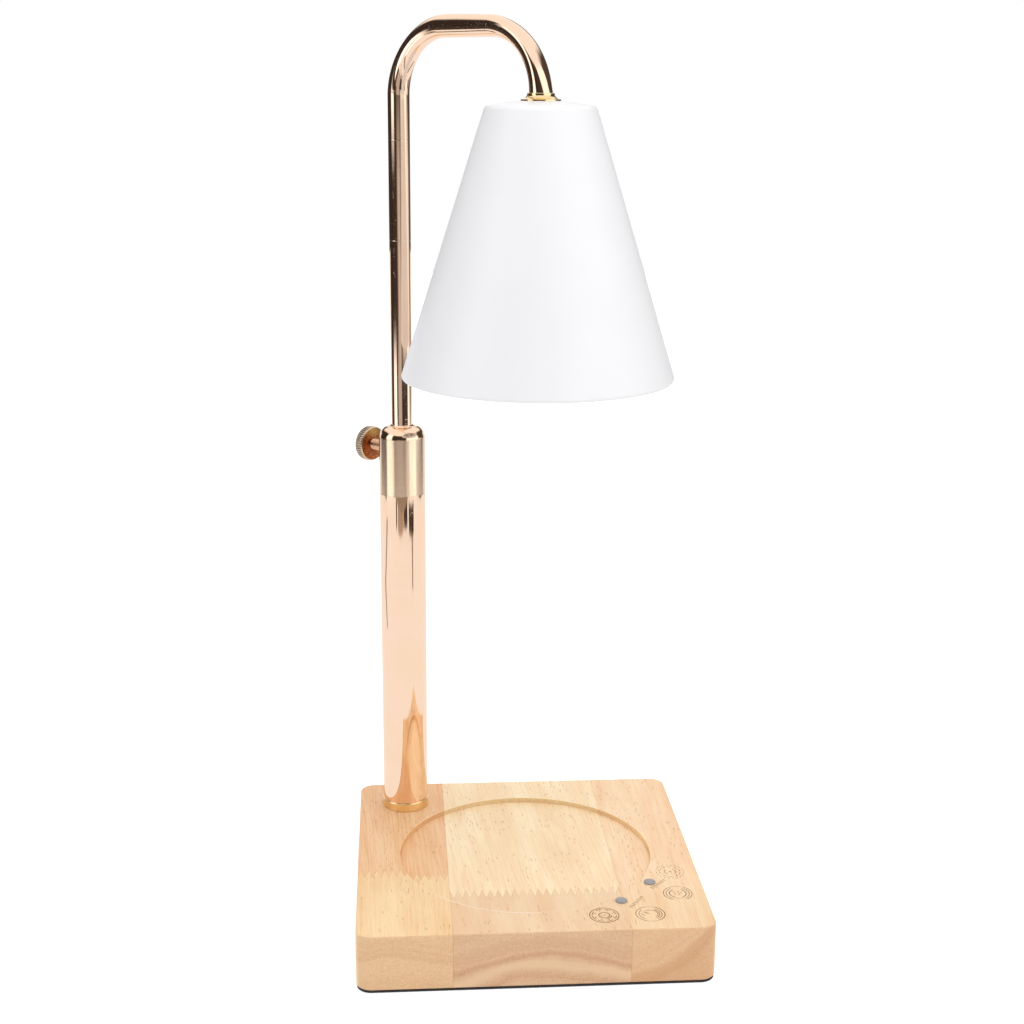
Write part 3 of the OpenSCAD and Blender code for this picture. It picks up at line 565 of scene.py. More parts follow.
def wood_material(pattern):
    material, net = new_material("lacquered_wood")
    wood = net.parts("Group", {"Vector": net.spot()}, node_tree=pattern)
    net.shader(Base_Color=wood["Color"], Roughness=wood["Roughness"], Coat_Weight=0.12, Coat_Roughness=0.3,
               Normal=net.bump(wood["Height"], 0.03))
    return material


WOOD = wood_material(make_wood())
print("wood ready")

# %% [markdown]
# Polished rose gold plating. Such plating mirrors the studio, so most of its
# look is the room. Fine wiping scratches run round and along the tube, and
# the plating is a touch uneven. The scratches are stretched noise in a group
# of their own, so they pass round a tube without a seam.

# %% Rose gold
ROSE, ROSE_PALE, ROSE_WORN = (0.94, 0.695, 0.51), (0.95, 0.72, 0.56), (0.98, 0.86, 0.76)
GRIP_MARKS = (358.6, 338.0, 295.0)


def make_scratches():
    net, given = group("Scratches", {"Vector": "Vector", "Amount": "Float"},
                       {"Mask": "Float", "Cloud": "Float"})
    spot = given["Vector"].scaled(1000.0)
    turned = net.add("VectorRotate", {"Vector": spot, "Angle": 0.5, "Axis": (0.3, 0.5, 0.8)},
                     rotation_type="AXIS_ANGLE")
    along = spot.drawn((7.0, 7.0, 0.16), 1.0).step(0.70, 0.78)
    slanted = turned.drawn((0.5, 0.5, 9.0), 1.0).step(0.74, 0.80)
    return net.answer(Mask=along.most(slanted) * given["Amount"],
                      Cloud=spot.noise(0.05, 3.0))


SCRATCHES = make_scratches()


def rose_gold(name, amount, grips=()):
    """Grips are the heights of the marks left where the tube was held while it was bent."""
    material, net = new_material(name)
    spot = net.spot()
    marks = net.parts("Group", {"Vector": spot, "Amount": amount}, node_tree=SCRATCHES)
    mask = marks["Mask"]
    _, _, height = spot.split()
    for z in grips:
        mask = mask.most((height * 1000.0).near(z, 0.1, 0.5) * 0.55)
    color = net.mix(marks["Cloud"].step(0.3, 0.7), ROSE, ROSE_PALE)
    net.shader(Base_Color=net.mix(mask * 0.5, color, ROSE_WORN), Metallic=1.0, Roughness=mask * 0.3 + 0.05,
               Normal=net.bump(mask, 0.01, 0.6))
    return material


ROSE_GOLD = rose_gold("rose_gold_plate", 0.5)
ARM_ROSE = rose_gold("rose_gold_arm", 0.6, GRIP_MARKS)
print("rose gold ready")

# %% [markdown]
# Turned brass: the collar is left as it came off the lathe, with fine lines
# round it, and its shoulder is polished. The lines are too fine to model:
# noise along the height gives a bump, and an anisotropic gloss spreads the
# highlights as such lines do.

# %% Brass
POLISHED_ABOVE = 207.0


def make_turned():
    net, given = group("Turned lines", {"Along": "Float"}, {"Height": "Float", "Tone": "Float"})
    row = net.join(z=given["Along"] * 1000.0)
    fine, broad = row.noise(9.0, 3.0, 0.7), row.noise(1.3)
    return net.answer(Height=fine * 0.7 + broad * 0.3, Tone=broad)


TURNED = make_turned()


def turned_brass():
    material, net = new_material("turned_brass")
    _, _, z = net.spot().split()
    lines = net.parts("Group", {"Along": z}, node_tree=TURNED)
    shoulder = (z * 1000.0).step(POLISHED_ABOVE - 0.4, POLISHED_ABOVE + 0.3)
    rows = net.mix(lines["Tone"], (0.77, 0.59, 0.44), (0.94, 0.74, 0.56))
    net.shader(Base_Color=net.mix(shoulder, rows, ROSE), Metallic=1.0,
               Roughness=shoulder.step(0.0, 1.0, 0.21, 0.05),
               Anisotropic=shoulder.step(0.0, 1.0, 0.95, 0.0), Anisotropic_Rotation=0.25,
               Tangent=net.add("Tangent", direction_type="RADIAL", axis="Z"),
               Normal=net.bump(lines["Height"] * (1.0 - shoulder), 0.014, 0.8))
    return material


def brass(name, color, rough):
    material, net = new_material(name)
    marks = net.parts("Group", {"Vector": net.spot(), "Amount": 0.5}, node_tree=SCRATCHES)
    tone = net.mix(marks["Cloud"].step(0.3, 0.7), color, tuple(c * 0.9 for c in color))
    net.shader(Base_Color=tone, Metallic=1.0, Roughness=marks["Mask"] * 0.3 + rough,
               Normal=net.bump(marks["Mask"], 0.008, 0.5))
    return material


TURNED_BRASS = turned_brass()
BRASS = brass("polished_brass", (0.95, 0.75, 0.43), 0.12)
print("brass ready")

# %% [markdown]
# The block: a rounded square with softened edges, the candle recess with its
# eased lip, and the same hollow, holes and cable way as the construction. It
# could be a box with a bevel modifier. Loops that run from the outline in to
# the recess give each edge its own rounding instead.

# %% Block
EDGE_ROUND, LIP_ROUND, LEVEL = 1.0, 0.3, 0.8


def block_cutters():
    """The rabbet for the cover, the hollow, and the holes of column, keys, inlet and cover screws."""
    inlet = Matrix.Translation(INLET_AT) @ Matrix.Rotation(radians(-90), 4, "X")
    tools = [loft("cutter", [square_loop(HALF - RABBET_IN, CORNER_R - 1.5, z) for z in (0.0, RABBET_TOP)]),
             loft("cutter", [square_loop(HALF - HOLLOW_IN, 3, z) for z in (HOLLOW_LOW, HOLLOW_TOP)]),
             rod(COLUMN_AT, POCKET_R, HOLLOW_LOW, HOLLOW_TOP),
             rod(COLUMN_AT, STUD_HOLE_R, HOLLOW_TOP - 1, BLOCK_TOP + 1.4)]
    tools += [rod(key, KEY_HOLE_R, HOLLOW_TOP - 1, BLOCK_TOP + 1.4) for key in KEYS]
    tools.append(rod(inlet, INLET_R, 0, 30))
    return tools + [rod((sx * COVER_HOLE_AT, sy * COVER_HOLE_AT), COVER_HOLE_R, 1, COVER_HOLE_TOP, 24)
                    for sx in (-1, 1) for sy in (-1, 1)]


def make_block():
    loops = [base_loop(0.5, PAD_H), base_loop(0, PAD_H + 0.5), base_loop(0, PAD_H + 1.2),
             base_loop(0, BLOCK_TOP - 2.0)]
    loops += [base_loop(EDGE_ROUND - x, BLOCK_TOP - EDGE_ROUND + y)
              for x, y in arc(0, 0, EDGE_ROUND, 0, 90, 6)]
    loops.append(base_loop(EDGE_ROUND + LEVEL, BLOCK_TOP))
    angles = [atan2(p.y - RECESS_AT[1], p.x - RECESS_AT[0]) for p in loops[0]]
    turned = [(RECESS_R + LIP_ROUND + LEVEL, BLOCK_TOP)]
    turned += arc(RECESS_R + LIP_ROUND, BLOCK_TOP - LIP_ROUND, LIP_ROUND, 90, 180, 4)
    turned += [(RECESS_R, RECESS_FLOOR + 0.25), (RECESS_R - 0.07, RECESS_FLOOR + 0.07),
               (RECESS_R - 0.25, RECESS_FLOOR), (RECESS_R - 1.5, RECESS_FLOOR)]
    loops += [[Vector((RECESS_AT[0] + r * cos(a), RECESS_AT[1] + r * sin(a), z)) for a in angles]
              for r, z in turned]
    return carve(loft("wood_block", loops), *block_cutters())


block = make_block()
finish(block, "base", WOOD, ["base_block"])
print("block:", len(block.data.vertices), "points")

# %% [markdown]
# The pad under the block: thin black foam, cut a little smaller than the
# block, so it shows as a dark line. Four loops are enough, because only its
# rim is seen.

# %% Pad
PAD_BLACK = grained("black_foam", (0.02, 0.02, 0.022), 0.85, variation=0.5, size=0.6, tooth=0.05)
pad = loft("foam_pad", [base_loop(0.6, 0.0), base_loop(0.3, 0.25), base_loop(0.3, PAD_H - 0.1),
                        base_loop(0.5, PAD_H)])
finish(pad, "base", PAD_BLACK, ["base_pad"])
print("pad done")

# %% [markdown]
# The two keys: small domed caps of satin grey plastic, each on its own body,
# with the moulded lip that keeps it in the wood. Both are turned from one
# profile, because they are alike.

# %% Keys
KEY_GREY = grained("satin_grey_key", srgb(150, 147, 146), 0.42, variation=0.10, size=0.5, tooth=0.004,
                   Coat_Weight=0.25, Coat_Roughness=0.25)


def make_key(name, at):
    low, lip = KEY_LOW, KEY_LIP_R
    profile = [(0.01, low), (lip - 0.2, low), (lip, low + 0.2), (lip, low + 1.0), (lip - 0.2, low + 1.2),
               (KEY_R, low + 1.2), (KEY_R, KEY_EDGE)]
    profile += [(KEY_R * cos(radians(a)), KEY_EDGE + KEY_DOME * sin(radians(a)))
                for a in range(12, 90, 8)]
    profile.append((0.01, KEY_EDGE + KEY_DOME))
    return lathe(name, profile, at, 48, closed=False)


finish(make_key("dimmer_key", KEYS[0]), "dimmer", KEY_GREY, ["dimmer_button"])
finish(make_key("timer_key", KEYS[1]), "timer", KEY_GREY, ["timer_button"])
print("keys done")

# %% [markdown]
# The marks round the keys are burnt into the wood with a laser: fine brown
# lines. They are plain rings, arcs, dots and ticks, as on any dial. They
# could be a mask in the wood's material, but flat strips just above the wood
# keep their sharp edges at any distance.

# %% Marks
DIALS = ((28.8, -62.2), (48.3, -62.2), (62.8, -45.1), (62.7, -25.2))
DIAL_R, BURN_Z = 6.15, BLOCK_TOP + 0.02
TICK_ROWS = (((41.0, -55.8), (46.9, -47.4)), ((52.5, -39.6), (58.9, -32.7)))
TICKS, TICK_HALF, TICK_W = 8, 0.85, 0.36


def ribbon(points, width):
    """A flat strip along points (x, y), as verts and faces."""
    verts, faces = [], []
    for i, p in enumerate(points):
        a, b = points[max(i - 1, 0)], points[min(i + 1, len(points) - 1)]
        d = Vector((b[0] - a[0], b[1] - a[1])).normalized() * (width / 2)
        verts += [Vector((p[0] - d.y, p[1] + d.x, BURN_Z)), Vector((p[0] + d.y, p[1] - d.x, BURN_Z))]
        if i:
            faces.append((2 * i - 2, 2 * i - 1, 2 * i + 1, 2 * i))
    return verts, faces


def tick(cx, cy, r0, r1, a):
    """A short line at an angle, from one distance to another."""
    return [(cx + x, cy + y) for x, y in (polar(r, a) for r in (r0, (r0 + r1) / 2, r1))]


def dial(at, arcs, ticks=(), dots=()):
    """Strips from arcs (radius, start, end, width), ticks (dx, dy, from, to, angle, width) and
    dots (dx, dy, radius)."""
    x, y = at
    lines = [(arc(x, y, r, a, b, max(6, int(abs(b - a) / 6))), width) for r, a, b, width in arcs]
    lines += [(tick(x + dx, y + dy, r0, r1, a), width) for dx, dy, r0, r1, a, width in ticks]
    return lines + [([(x + dx + side * r, y + dy) for side in (-1, 0, 1)], 2 * r) for dx, dy, r in dots]


def key_scale(start, end):
    """A row of equal ticks beside a key."""
    (x0, y0), (x1, y1) = start, end
    turn = degrees(atan2(y1 - y0, x1 - x0)) + 90
    spots = [(x0 + (x1 - x0) * t, y0 + (y1 - y0) * t) for t in (i / (TICKS - 1) for i in range(TICKS))]
    return [(tick(x, y, -TICK_HALF, TICK_HALF, turn), TICK_W) for x, y in spots]


def make_marks():
    lines = dial(DIALS[0], [(DIAL_R, 0, 360, 0.34), (2.3, 0, 360, 0.36), (3.1, -80, -5, 0.34)]
                 + [(5.1, a, a + 34, 0.30) for a in range(5, 360, 45)],
                 [(0, 0, 3.7, 4.5, a, 0.34) for a in range(22, 360, 45)] + [(0, 0, -0.7, 0.7, 15, 0.22)])
    lines += dial(DIALS[1], [(DIAL_R, -65, 65, 0.34), (DIAL_R, 112, 248, 0.26), (DIAL_R, 65, 112, 0.14),
                             (DIAL_R, 248, 295, 0.16), (4.9, -58, 58, 0.28), (3.9, -58, 58, 0.28),
                             (3.2, -50, 120, 0.24), (4.8, 130, 235, 0.24)],
                  [(-1.5, 1.0, -1.6, 1.2, -38, 0.42), (-3.0, -0.6, -1.0, 0.8, -38, 0.26)])
    lines += dial(DIALS[2], [(r, turn - 62, turn + 62, width) for turn in (0, 180)
                             for r, width in ((DIAL_R, 0.28), (5.0, 0.26), (3.6, 0.36))]
                  + [(DIAL_R, 62, 118, 0.16), (4.4, 242, 298, 0.18)],
                  dots=[(dx, dy, 0.26) for dx, dy in ((-1.6, 1.2), (0.2, 1.6), (1.5, 0.4), (0.3, -0.9),
                                                      (-1.2, -0.4))])
    lines += dial(DIALS[3], [(DIAL_R, a, a + 9, 0.24) for a in range(0, 360, 18)]
                  + [(4.5, a, a + 24, 0.22) for a in range(0, 360, 36)]
                  + [(2.5, -50, 60, 0.24), (2.5, 130, 235, 0.24)], dots=[(0, 0, 0.35)])
    for row in TICK_ROWS:
        lines += key_scale(*row)
    verts, faces = [], []
    for points, width in lines:
        strip, quads = ribbon(points, width)
        faces += [tuple(i + len(verts) for i in quad) for quad in quads]
        verts += strip
    return add_mesh("laser_marks", verts, faces)


LASER_BROWN = grained("laser_burn", srgb(116, 72, 44), 0.7, variation=0.6, size=0.4, tooth=0.01)
finish(make_marks(), "base", LASER_BROWN)
print("marks done")

# %% [markdown]
# Column: a brass foot ring with a bright edge, then the rose gold tube. The
# tube is hollow, because the arm slides inside it. Both are turned from a
# closed profile, up the outside and down the inside, which gives them a real
# wall.

# %% Column
foot = lathe("foot_ring", [(STUD_HOLE_R, BLOCK_TOP), (FOOT_R - 0.3, BLOCK_TOP), (FOOT_R, BLOCK_TOP + 0.3),
                           (FOOT_R, BLOCK_TOP + 3.55)]
             + arc(FOOT_R - 0.4, BLOCK_TOP + 3.75, 0.4, 0, 80, 4)
             + [(COLUMN_R, TUBE_Z), (SPIGOT_R, TUBE_Z), (SPIGOT_R, SPIGOT_TOP), (STUD_HOLE_R, SPIGOT_TOP)],
             COLUMN_AT)
finish(foot, "base", BRASS, ["foot_flange"])
tube = lathe("column_sleeve", [
    (COLUMN_IN, TUBE_Z), (COLUMN_R - 0.18, TUBE_Z), (COLUMN_R, TUBE_Z + 0.18), (COLUMN_R, COLLAR_Z - 0.12),
    (COLUMN_R - 0.12, COLLAR_Z), (COLUMN_IN, COLLAR_Z)], COLUMN_AT, 192)
finish(tube, "base", ROSE_GOLD, ["column_tube"])
print("column done")

# %% [markdown]
# Clamp collar: turned from solid bar. Its shoulder rolls over and runs up to
# a short neck round the arm, and the thumb screw's hole enters from the back.
# That hole is cut by a Boolean, because it crosses the turned shape.

# %% Clamp collar
ARM_AHEAD = Vector((cos(ARM_DIR), sin(ARM_DIR), 0))
ARM_SIDE = Vector((sin(ARM_DIR), -cos(ARM_DIR), 0))
SCREW_AXIS = -ARM_AHEAD
SCREW_PLACE = Matrix.Translation((*COLUMN_AT, SCREW_Z)) @ Matrix((
    (0, SCREW_AXIS.y, SCREW_AXIS.x), (0, -SCREW_AXIS.x, SCREW_AXIS.y), (1, 0, 0))).to_4x4()
SHOULDER, BORE_R, SPIGOT_H = 5.1, 4.81, 5.0


def make_collar():
    shoulder_z, low = COLLAR_TOP - SHOULDER, COLLAR_Z - SPIGOT_H
    outer = [(COLUMN_R - 0.12, COLLAR_Z), (COLUMN_R, COLLAR_Z + 0.12), (COLUMN_R, shoulder_z)]
    outer += arc(COLUMN_R - SHOULDER, shoulder_z, SHOULDER, 5, 86, 16)
    neck = [(5.45, COLLAR_TOP + 0.06), (5.15, COLLAR_TOP + 0.3), (4.98, COLLAR_TOP + 0.7),
            (4.9, COLLAR_TOP + 0.75), (BORE_R, COLLAR_TOP + 0.65)]
    inner = [(BORE_R, low + 0.1), (BORE_R + 0.14, low), (SPIGOT_R - 0.1, low), (SPIGOT_R, low + 0.1),
             (SPIGOT_R, COLLAR_Z)]
    collar = lathe("collar", outer + neck + inner, COLUMN_AT, 192)
    return carve(collar, rod(SCREW_PLACE, SCREW_HOLE_R, 3, 12, 48))


finish(make_collar(), "base", TURNED_BRASS, ["clamp_collar"])
print("collar done")

# %% [markdown]
# Thumb screw: a knurled head on a threaded shank. The rim is cut with fine
# grooves between two chamfers, and the thread is a real helix. Both could be
# bump maps, but they show in outline, so each ring of points follows the
# grooves or the helix.

# %% Thumb screw
GROOVES, GROOVE_DEPTH = 44, 0.44
PITCH, CREST_R, ROOT_R, THREAD_FROM, THREAD_STEP = 0.8, 2.5, 2.0, 6.6, 0.1


def knurled():
    """Rows are (radius, height, how deep the grooves are)."""
    rows = [(2.6, 0, 0), (HEAD_R - 0.7, 0, 0), (HEAD_R - 0.55, 0.08, 0), (HEAD_R - 0.15, 0.55, 0.35),
            (HEAD_R, 0.8, 1), (HEAD_R, HEAD_T - 0.75, 1), (HEAD_R - 0.1, HEAD_T - 0.6, 0.5),
            (HEAD_R - 0.5, HEAD_T - 0.12, 0), (HEAD_R - 0.8, HEAD_T, 0), (0.02, HEAD_T, 0)]

    def grooved(r, depth):
        return lambda a: r - GROOVE_DEPTH * depth * (0.5 + 0.5 * cos(a * GROOVES)) ** 1.5

    return loft("thumb_head", [moved(ring(grooved(r, depth), HEAD_AT + up, 8 * GROOVES), SCREW_PLACE)
                               for r, up, depth in rows], sharp=40)


def threaded():
    """The helix, with its first turn cut away."""
    rows = round((HEAD_AT - THREAD_FROM) / THREAD_STEP) + 1

    def helix(z, crest):
        def radius(a):
            rise = 1 - abs(2 * ((z / PITCH - a / FULL) % 1.0) - 1)
            return min(crest, ROOT_R + (CREST_R - ROOT_R) * min(1.0, rise * 1.3))
        return radius

    loops = []
    for i in range(rows):
        z = THREAD_FROM + THREAD_STEP * i
        crest = ROOT_R + 0.05 if i < 7 else CREST_R
        loops.append(moved(ring(helix(z, crest), z, 48), SCREW_PLACE))
    return loft("thumb_thread", loops, sharp=60)


def knurled_brass():
    """The rim is grey tan with a painted highlight on its chamfer, and the face towards the collar a deep
    copper, painted lighter towards its top.
    """
    material, net = new_material("knurled_brass")
    spot = net.spot()
    axis = net.join(SCREW_AXIS.x, SCREW_AXIS.y)
    local = net.vector("SUBTRACT", spot, net.join(COLUMN_AT[0] * MM, COLUMN_AT[1] * MM))
    reach = net.vector("DOT_PRODUCT", local, axis, "Value") * 1000.0
    inner = reach.fall(HEAD_AT + 0.02, HEAD_AT + 0.05)
    chamfer = reach.fall(HEAD_AT + 0.5, HEAD_AT + 0.8)
    lines = net.parts("Group", {"Along": local.length()}, node_tree=TURNED)
    speck = spot.noise(1600.0, 2.0, 0.6).step(0.35, 0.65)
    _, _, height = spot.split()
    # painted light: the face turns from dark copper below to light gold above
    high = height.step((SCREW_Z + 2.0) * MM, (SCREW_Z + 6.5) * MM)
    face = net.mix(high, net.mix(speck, (0.24, 0.06, 0.02), (0.50, 0.19, 0.07)),
                   net.mix(speck, (0.46, 0.25, 0.08), (0.66, 0.40, 0.16)))
    # painted highlight: the chamfer is given a paler colour than the rim
    color = net.mix(inner, net.mix(chamfer, (0.60, 0.49, 0.39), (0.74, 0.60, 0.44)), face)
    # the thread: painted shade at its root and a painted highlight on its crest
    thread = reach.fall(HEAD_AT - 0.02, HEAD_AT)
    from_middle = net.vector("SUBTRACT", local, net.join(z=SCREW_Z * MM))
    radius = net.vector("CROSS_PRODUCT", from_middle, axis).length()
    crest = (radius * 1000.0).step(2.1, 2.42)
    color = net.mix(thread, color, net.mix(crest, (0.22, 0.08, 0.04), (0.98, 0.68, 0.50)))
    rough = net.mix(thread, net.mix(inner, (0.24, 0.24, 0.24), (0.34, 0.34, 0.34)), (0.14, 0.14, 0.14))
    net.shader(Base_Color=color, Metallic=1.0, Roughness=rough,
               Normal=net.bump(lines["Height"] + speck, 0.012, 0.5))
    return material


KNURLED = knurled_brass()
finish(knurled(), "thumb_screw", KNURLED, ["thumb_screw"])
finish(threaded(), "thumb_screw", KNURLED)
print("thumb screw done")

# %% [markdown]
# Arm: one tube, bent twice, with its wall, its open lower end and the groove
# of its retaining ring. The outside of each bend is pressed flat, as a bent
# tube's is. A curve with a round bevel can't be flattened on one side only,
# so each ring of points is placed and shaped by itself.

# %% Arm
FLAT_A, FLAT_B, FLATTEST = 1.3, 2.5, 0.83
CIRCLIP_Z, CIRCLIP_H, CIRCLIP_DEPTH = ARM_END + 7.95, 1.1, 0.45
QUARTER = pi / 2


def arm_point(out, z):
    return Vector((*COLUMN_AT, 0)) + ARM_AHEAD * out + UP * z


def second_flat(a):
    """How far the second bend is flattened, at an angle into it: most at FLATTEST."""
    if a < FLATTEST:
        return FLAT_B * (0.25 + 0.75 * sin(min(QUARTER, a * 1.9)))
    return FLAT_B * cos((a - FLATTEST) / (QUARTER - FLATTEST) * QUARTER) ** 0.8


def arm_spots(end_z):
    """(centre, direction, radius, how far the outside is flattened) from the lower end to end_z"""
    straight = [(ARM_END, 0.15), (ARM_END + 0.2, 0), (CIRCLIP_Z - 0.05, 0), (CIRCLIP_Z, CIRCLIP_DEPTH),
                (CIRCLIP_Z + CIRCLIP_H, CIRCLIP_DEPTH), (CIRCLIP_Z + CIRCLIP_H + 0.05, 0)]
    straight += [(z, 0) for z in (230, 295, 330, ARM_Z - BEND_A)]
    spots = [(arm_point(0, z), UP, ARM_R - inset, 0.0) for z, inset in straight]
    for a in (QUARTER * i / 32 for i in range(1, 33)):
        spots.append((arm_point(BEND_A - BEND_A * cos(a), ARM_Z - BEND_A + BEND_A * sin(a)),
                      ARM_AHEAD * sin(a) + UP * cos(a), ARM_R, FLAT_A * sin(2 * a) ** 1.5))
    for t in (i / 8 for i in range(1, 8)):
        spots.append((arm_point(BEND_A + (REACH - BEND_A - BEND_B) * t, ARM_Z), ARM_AHEAD, ARM_R,
                      FLAT_B * 0.25 * max(0.0, t - 0.4) / 0.6))
    for a in (QUARTER * i / 32 for i in range(33)):
        spots.append((arm_point(REACH - BEND_B + BEND_B * sin(a), ARM_Z - BEND_B + BEND_B * cos(a)),
                      ARM_AHEAD * cos(a) - UP * sin(a), ARM_R, second_flat(a)))
    return spots + [(arm_point(REACH, end_z), -UP, ARM_R, 0.0)]


def cross_ring(centre, ahead, r, flat=0.0, n=72):
    out = ARM_SIDE.cross(ahead)
    return [centre + ARM_SIDE * (r * cos(a)) + out * (r * sin(a) - flat * max(0.0, sin(a)) ** 1.3)
            for a in (FULL * k / n for k in range(n))]


def make_arm():
    spots = arm_spots(SHADE_TOP)
    loops = [cross_ring(*spot) for spot in spots]
    loops += [cross_ring(centre, ahead, ARM_IN, flat) for centre, ahead, r, flat in reversed(spots)
              if r > ARM_R - CIRCLIP_DEPTH]
    return loft("arm_pipe", loops, closed=True)


finish(make_arm(), "arm", ARM_ROSE, ["arm_tube"])
print("arm done")

# %% [markdown]
# Flex inside the arm. It lies along the inside of each bend, as a pulled flex
# does, so it clears the flattened wall. It follows the arm's own path, so the
# two always fit.

# %% Arm flex
FLEX_LOW, FLEX_HIGH = ARM_END - 1.5, 340.9


def make_arm_flex():
    loops = [cross_ring(arm_point(0, FLEX_LOW), UP, FLEX_R, n=20)]
    for centre, ahead, _, flat in arm_spots(FLEX_HIGH):
        loops.append(cross_ring(centre - ARM_SIDE.cross(ahead) * (flat * 0.5), ahead, FLEX_R, n=20))
    return loft("arm_flex", loops)


FLEX = grained("black_flex", (0.025, 0.025, 0.027), 0.5, variation=0.3, tooth=0.02)
finish(make_arm_flex(), "arm", FLEX, ["arm_cable"])
print("arm flex done")

# %% [markdown]
# Shade: one spun sheet of aluminium with a satin white powder coat, and a
# small rim that curls inwards. A little brass trumpet covers the hole where
# the arm enters. A cone with a solidify modifier would have a sharp crown and
# rim. One closed profile carries both faces of the sheet and their bends.

# %% Shade
CROWN_R, ARM_HOLE_R = 9.8, 4.2
PEEL_SCALE, COAT_CLOUD_SCALE = 1500.0, 30.0


def sheet_corner(point, a, b, t):
    """The centre of a bend of radius t in a sheet, whose two faces look in directions a and b."""
    a, b = radians(a), radians(b)
    k = t / (1 + cos(a - b))
    return point[0] - k * (cos(a) + cos(b)), point[1] - k * (sin(a) + sin(b))


def make_shade():
    slope = (RIM_R - TOP_R) / (TOP_Z - RIM_Z)
    lean = degrees(atan(slope))
    crown_dir = 90 - degrees(atan((SHADE_TOP - TOP_Z) / (TOP_R - CROWN_R)))
    corner = sheet_corner((TOP_R, TOP_Z), crown_dir, lean, SHADE_ROUND)
    lip_x, lip_y = polar(LIP_R, lean)
    lip_z = RIM_Z + LIP_R
    lip = (TOP_R + (TOP_Z - lip_z - lip_y) * slope - lip_x, lip_z)
    under = sheet_corner((CROWN_R, SHADE_TOP), 90, crown_dir, SHEET)
    profile = [(ARM_HOLE_R, SHADE_TOP), (CROWN_R, SHADE_TOP)]
    profile += arc(*corner, SHADE_ROUND, crown_dir, lean, 12)
    profile += arc(*lip, LIP_R, lean, -115, 14) + arc(*lip, LIP_R - SHEET, -115, lean, 10)
    profile += arc(*corner, SHADE_ROUND - SHEET, lean, crown_dir, 8)
    profile += [under, (ARM_HOLE_R, SHADE_TOP - SHEET)]
    return lathe("spun_shade", profile, SHADE_AT, 256, sharp=50)


def make_trumpet():
    profile = [(4.8, SHADE_TOP), (FLANGE_R - 0.1, SHADE_TOP), (FLANGE_R, SHADE_TOP + 0.1),
               (FLANGE_R, SHADE_TOP + 0.6)]
    for a in (radians(d) for d in range(6, 85, 6)):
        profile.append((FLANGE_R - 2.6 * sin(a), SHADE_TOP + 0.7 + (FLANGE_H - 1.0) * (1 - cos(a))))
    high = SHADE_TOP + FLANGE_H
    return lathe("shade_trumpet", profile + [(5.45, high - 0.15), (5.3, high), (4.8, high)], SHADE_AT, 96)


def powder_coat():
    material, net = new_material("white_powder_coat")
    spot = net.spot()
    peel, cloud = spot.noise(PEEL_SCALE), spot.noise(COAT_CLOUD_SCALE)
    net.shader(Base_Color=net.mix(cloud.step(0.3, 0.7), (0.855, 0.855, 0.87), (0.87, 0.87, 0.88)),
               Roughness=peel * 0.08 + 0.36, Normal=net.bump(peel, 0.012, 0.5))
    return material


SHADE_WHITE = powder_coat()
finish(make_shade(), "arm", SHADE_WHITE, ["shade"])
finish(make_trumpet(), "arm", BRASS, ["shade_flange"])
print("shade done")

# %% [markdown]
# Bulb: a silvered reflector with pressed facets, and a clear front lens. The
# facets are real dents in the inner wall, whose radius follows two sines.

# %% Bulb
GLASS_T, DENT, LENS_GAP = 1.5, 0.16, 2.2


def make_reflector():
    rows, loops = 18, []

    def facets(t, inside):
        flare = NECK_R + (BULB_R - NECK_R) * t ** 0.62 - GLASS_T * inside
        return lambda a: flare + DENT * inside * abs(sin(a * 12)) * abs(sin(t * pi * 7))

    steps = [i / rows for i in range(rows + 1)]
    for inside, way in ((0, steps), (1, steps[::-1])):
        for t in way:
            z = BULB_FACE + (NECK_Z - BULB_FACE) * (1 - t)
            loops.append(moved(ring(facets(t, inside), z, 96), SHADE_AT))
    return loft("reflector", loops, closed=True, sharp=30)


def make_lens():
    r = BULB_R - LENS_GAP
    profile = [(0.02, 0.4), (r - 1, 0.4), (r, 0.8), (r, 1.7), (r - 1, 2.0), (r * 0.6, 1.7), (0.02, 1.6)]
    return lathe("lens", [(x, BULB_FACE + up) for x, up in profile], SHADE_AT, 96, closed=False)


def clear_glass():
    material, net = new_material("clear_glass")
    ripple = net.spot().noise(260.0)
    net.shader(Base_Color=(0.97, 0.98, 0.98, 1), Transmission_Weight=1.0, IOR=1.45, Roughness=ripple * 0.16,
               Normal=net.bump(ripple, 0.15, 0.4))
    return material


SILVER = grained("silvered", (0.86, 0.86, 0.88), 0.12, metal=1.0, variation=0.06, tooth=0.003)
GLASS = clear_glass()
finish(make_reflector(), "bulb", SILVER, ["bulb_reflector"])
finish(make_lens(), "bulb", GLASS, ["bulb_lens"])
print("bulb done")

# %% [markdown]
# Flex inside the column: it has slack for the arm's travel, so it snakes in the tube and folds up as the
# arm goes down.

# %% Column flex
SLACK_LOW, SLACK_STRAIGHT, SLACK_TOP, SWAY = 9.5, 40.0, 160.0, 4.2


def make_slack():
    loops = []
    for z in (SLACK_LOW + (SLACK_TOP - SLACK_LOW) * i / 120 for i in range(121)):
        t = max(0.0, (z - SLACK_STRAIGHT) / (SLACK_TOP - SLACK_STRAIGHT))
        sway = SWAY * sin(t * pi * 4) * sin(t * pi)
        loops.append(moved(ring(SLACK_R, z, 20), (COLUMN_AT[0] + sway, COLUMN_AT[1] + 0.5 * sway)))
    return loft("slack_flex", loops)


slack = make_slack()
finish(slack, "base", FLEX, ["slack_cable"])
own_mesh(slack)
print("slack flex done")

# %% [markdown]
# Finishes for the pieces that stay as they were built: fasteners, board,
# wires, holder and nylon guides. The record names a slot for each piece, and
# one table gives each slot its material.

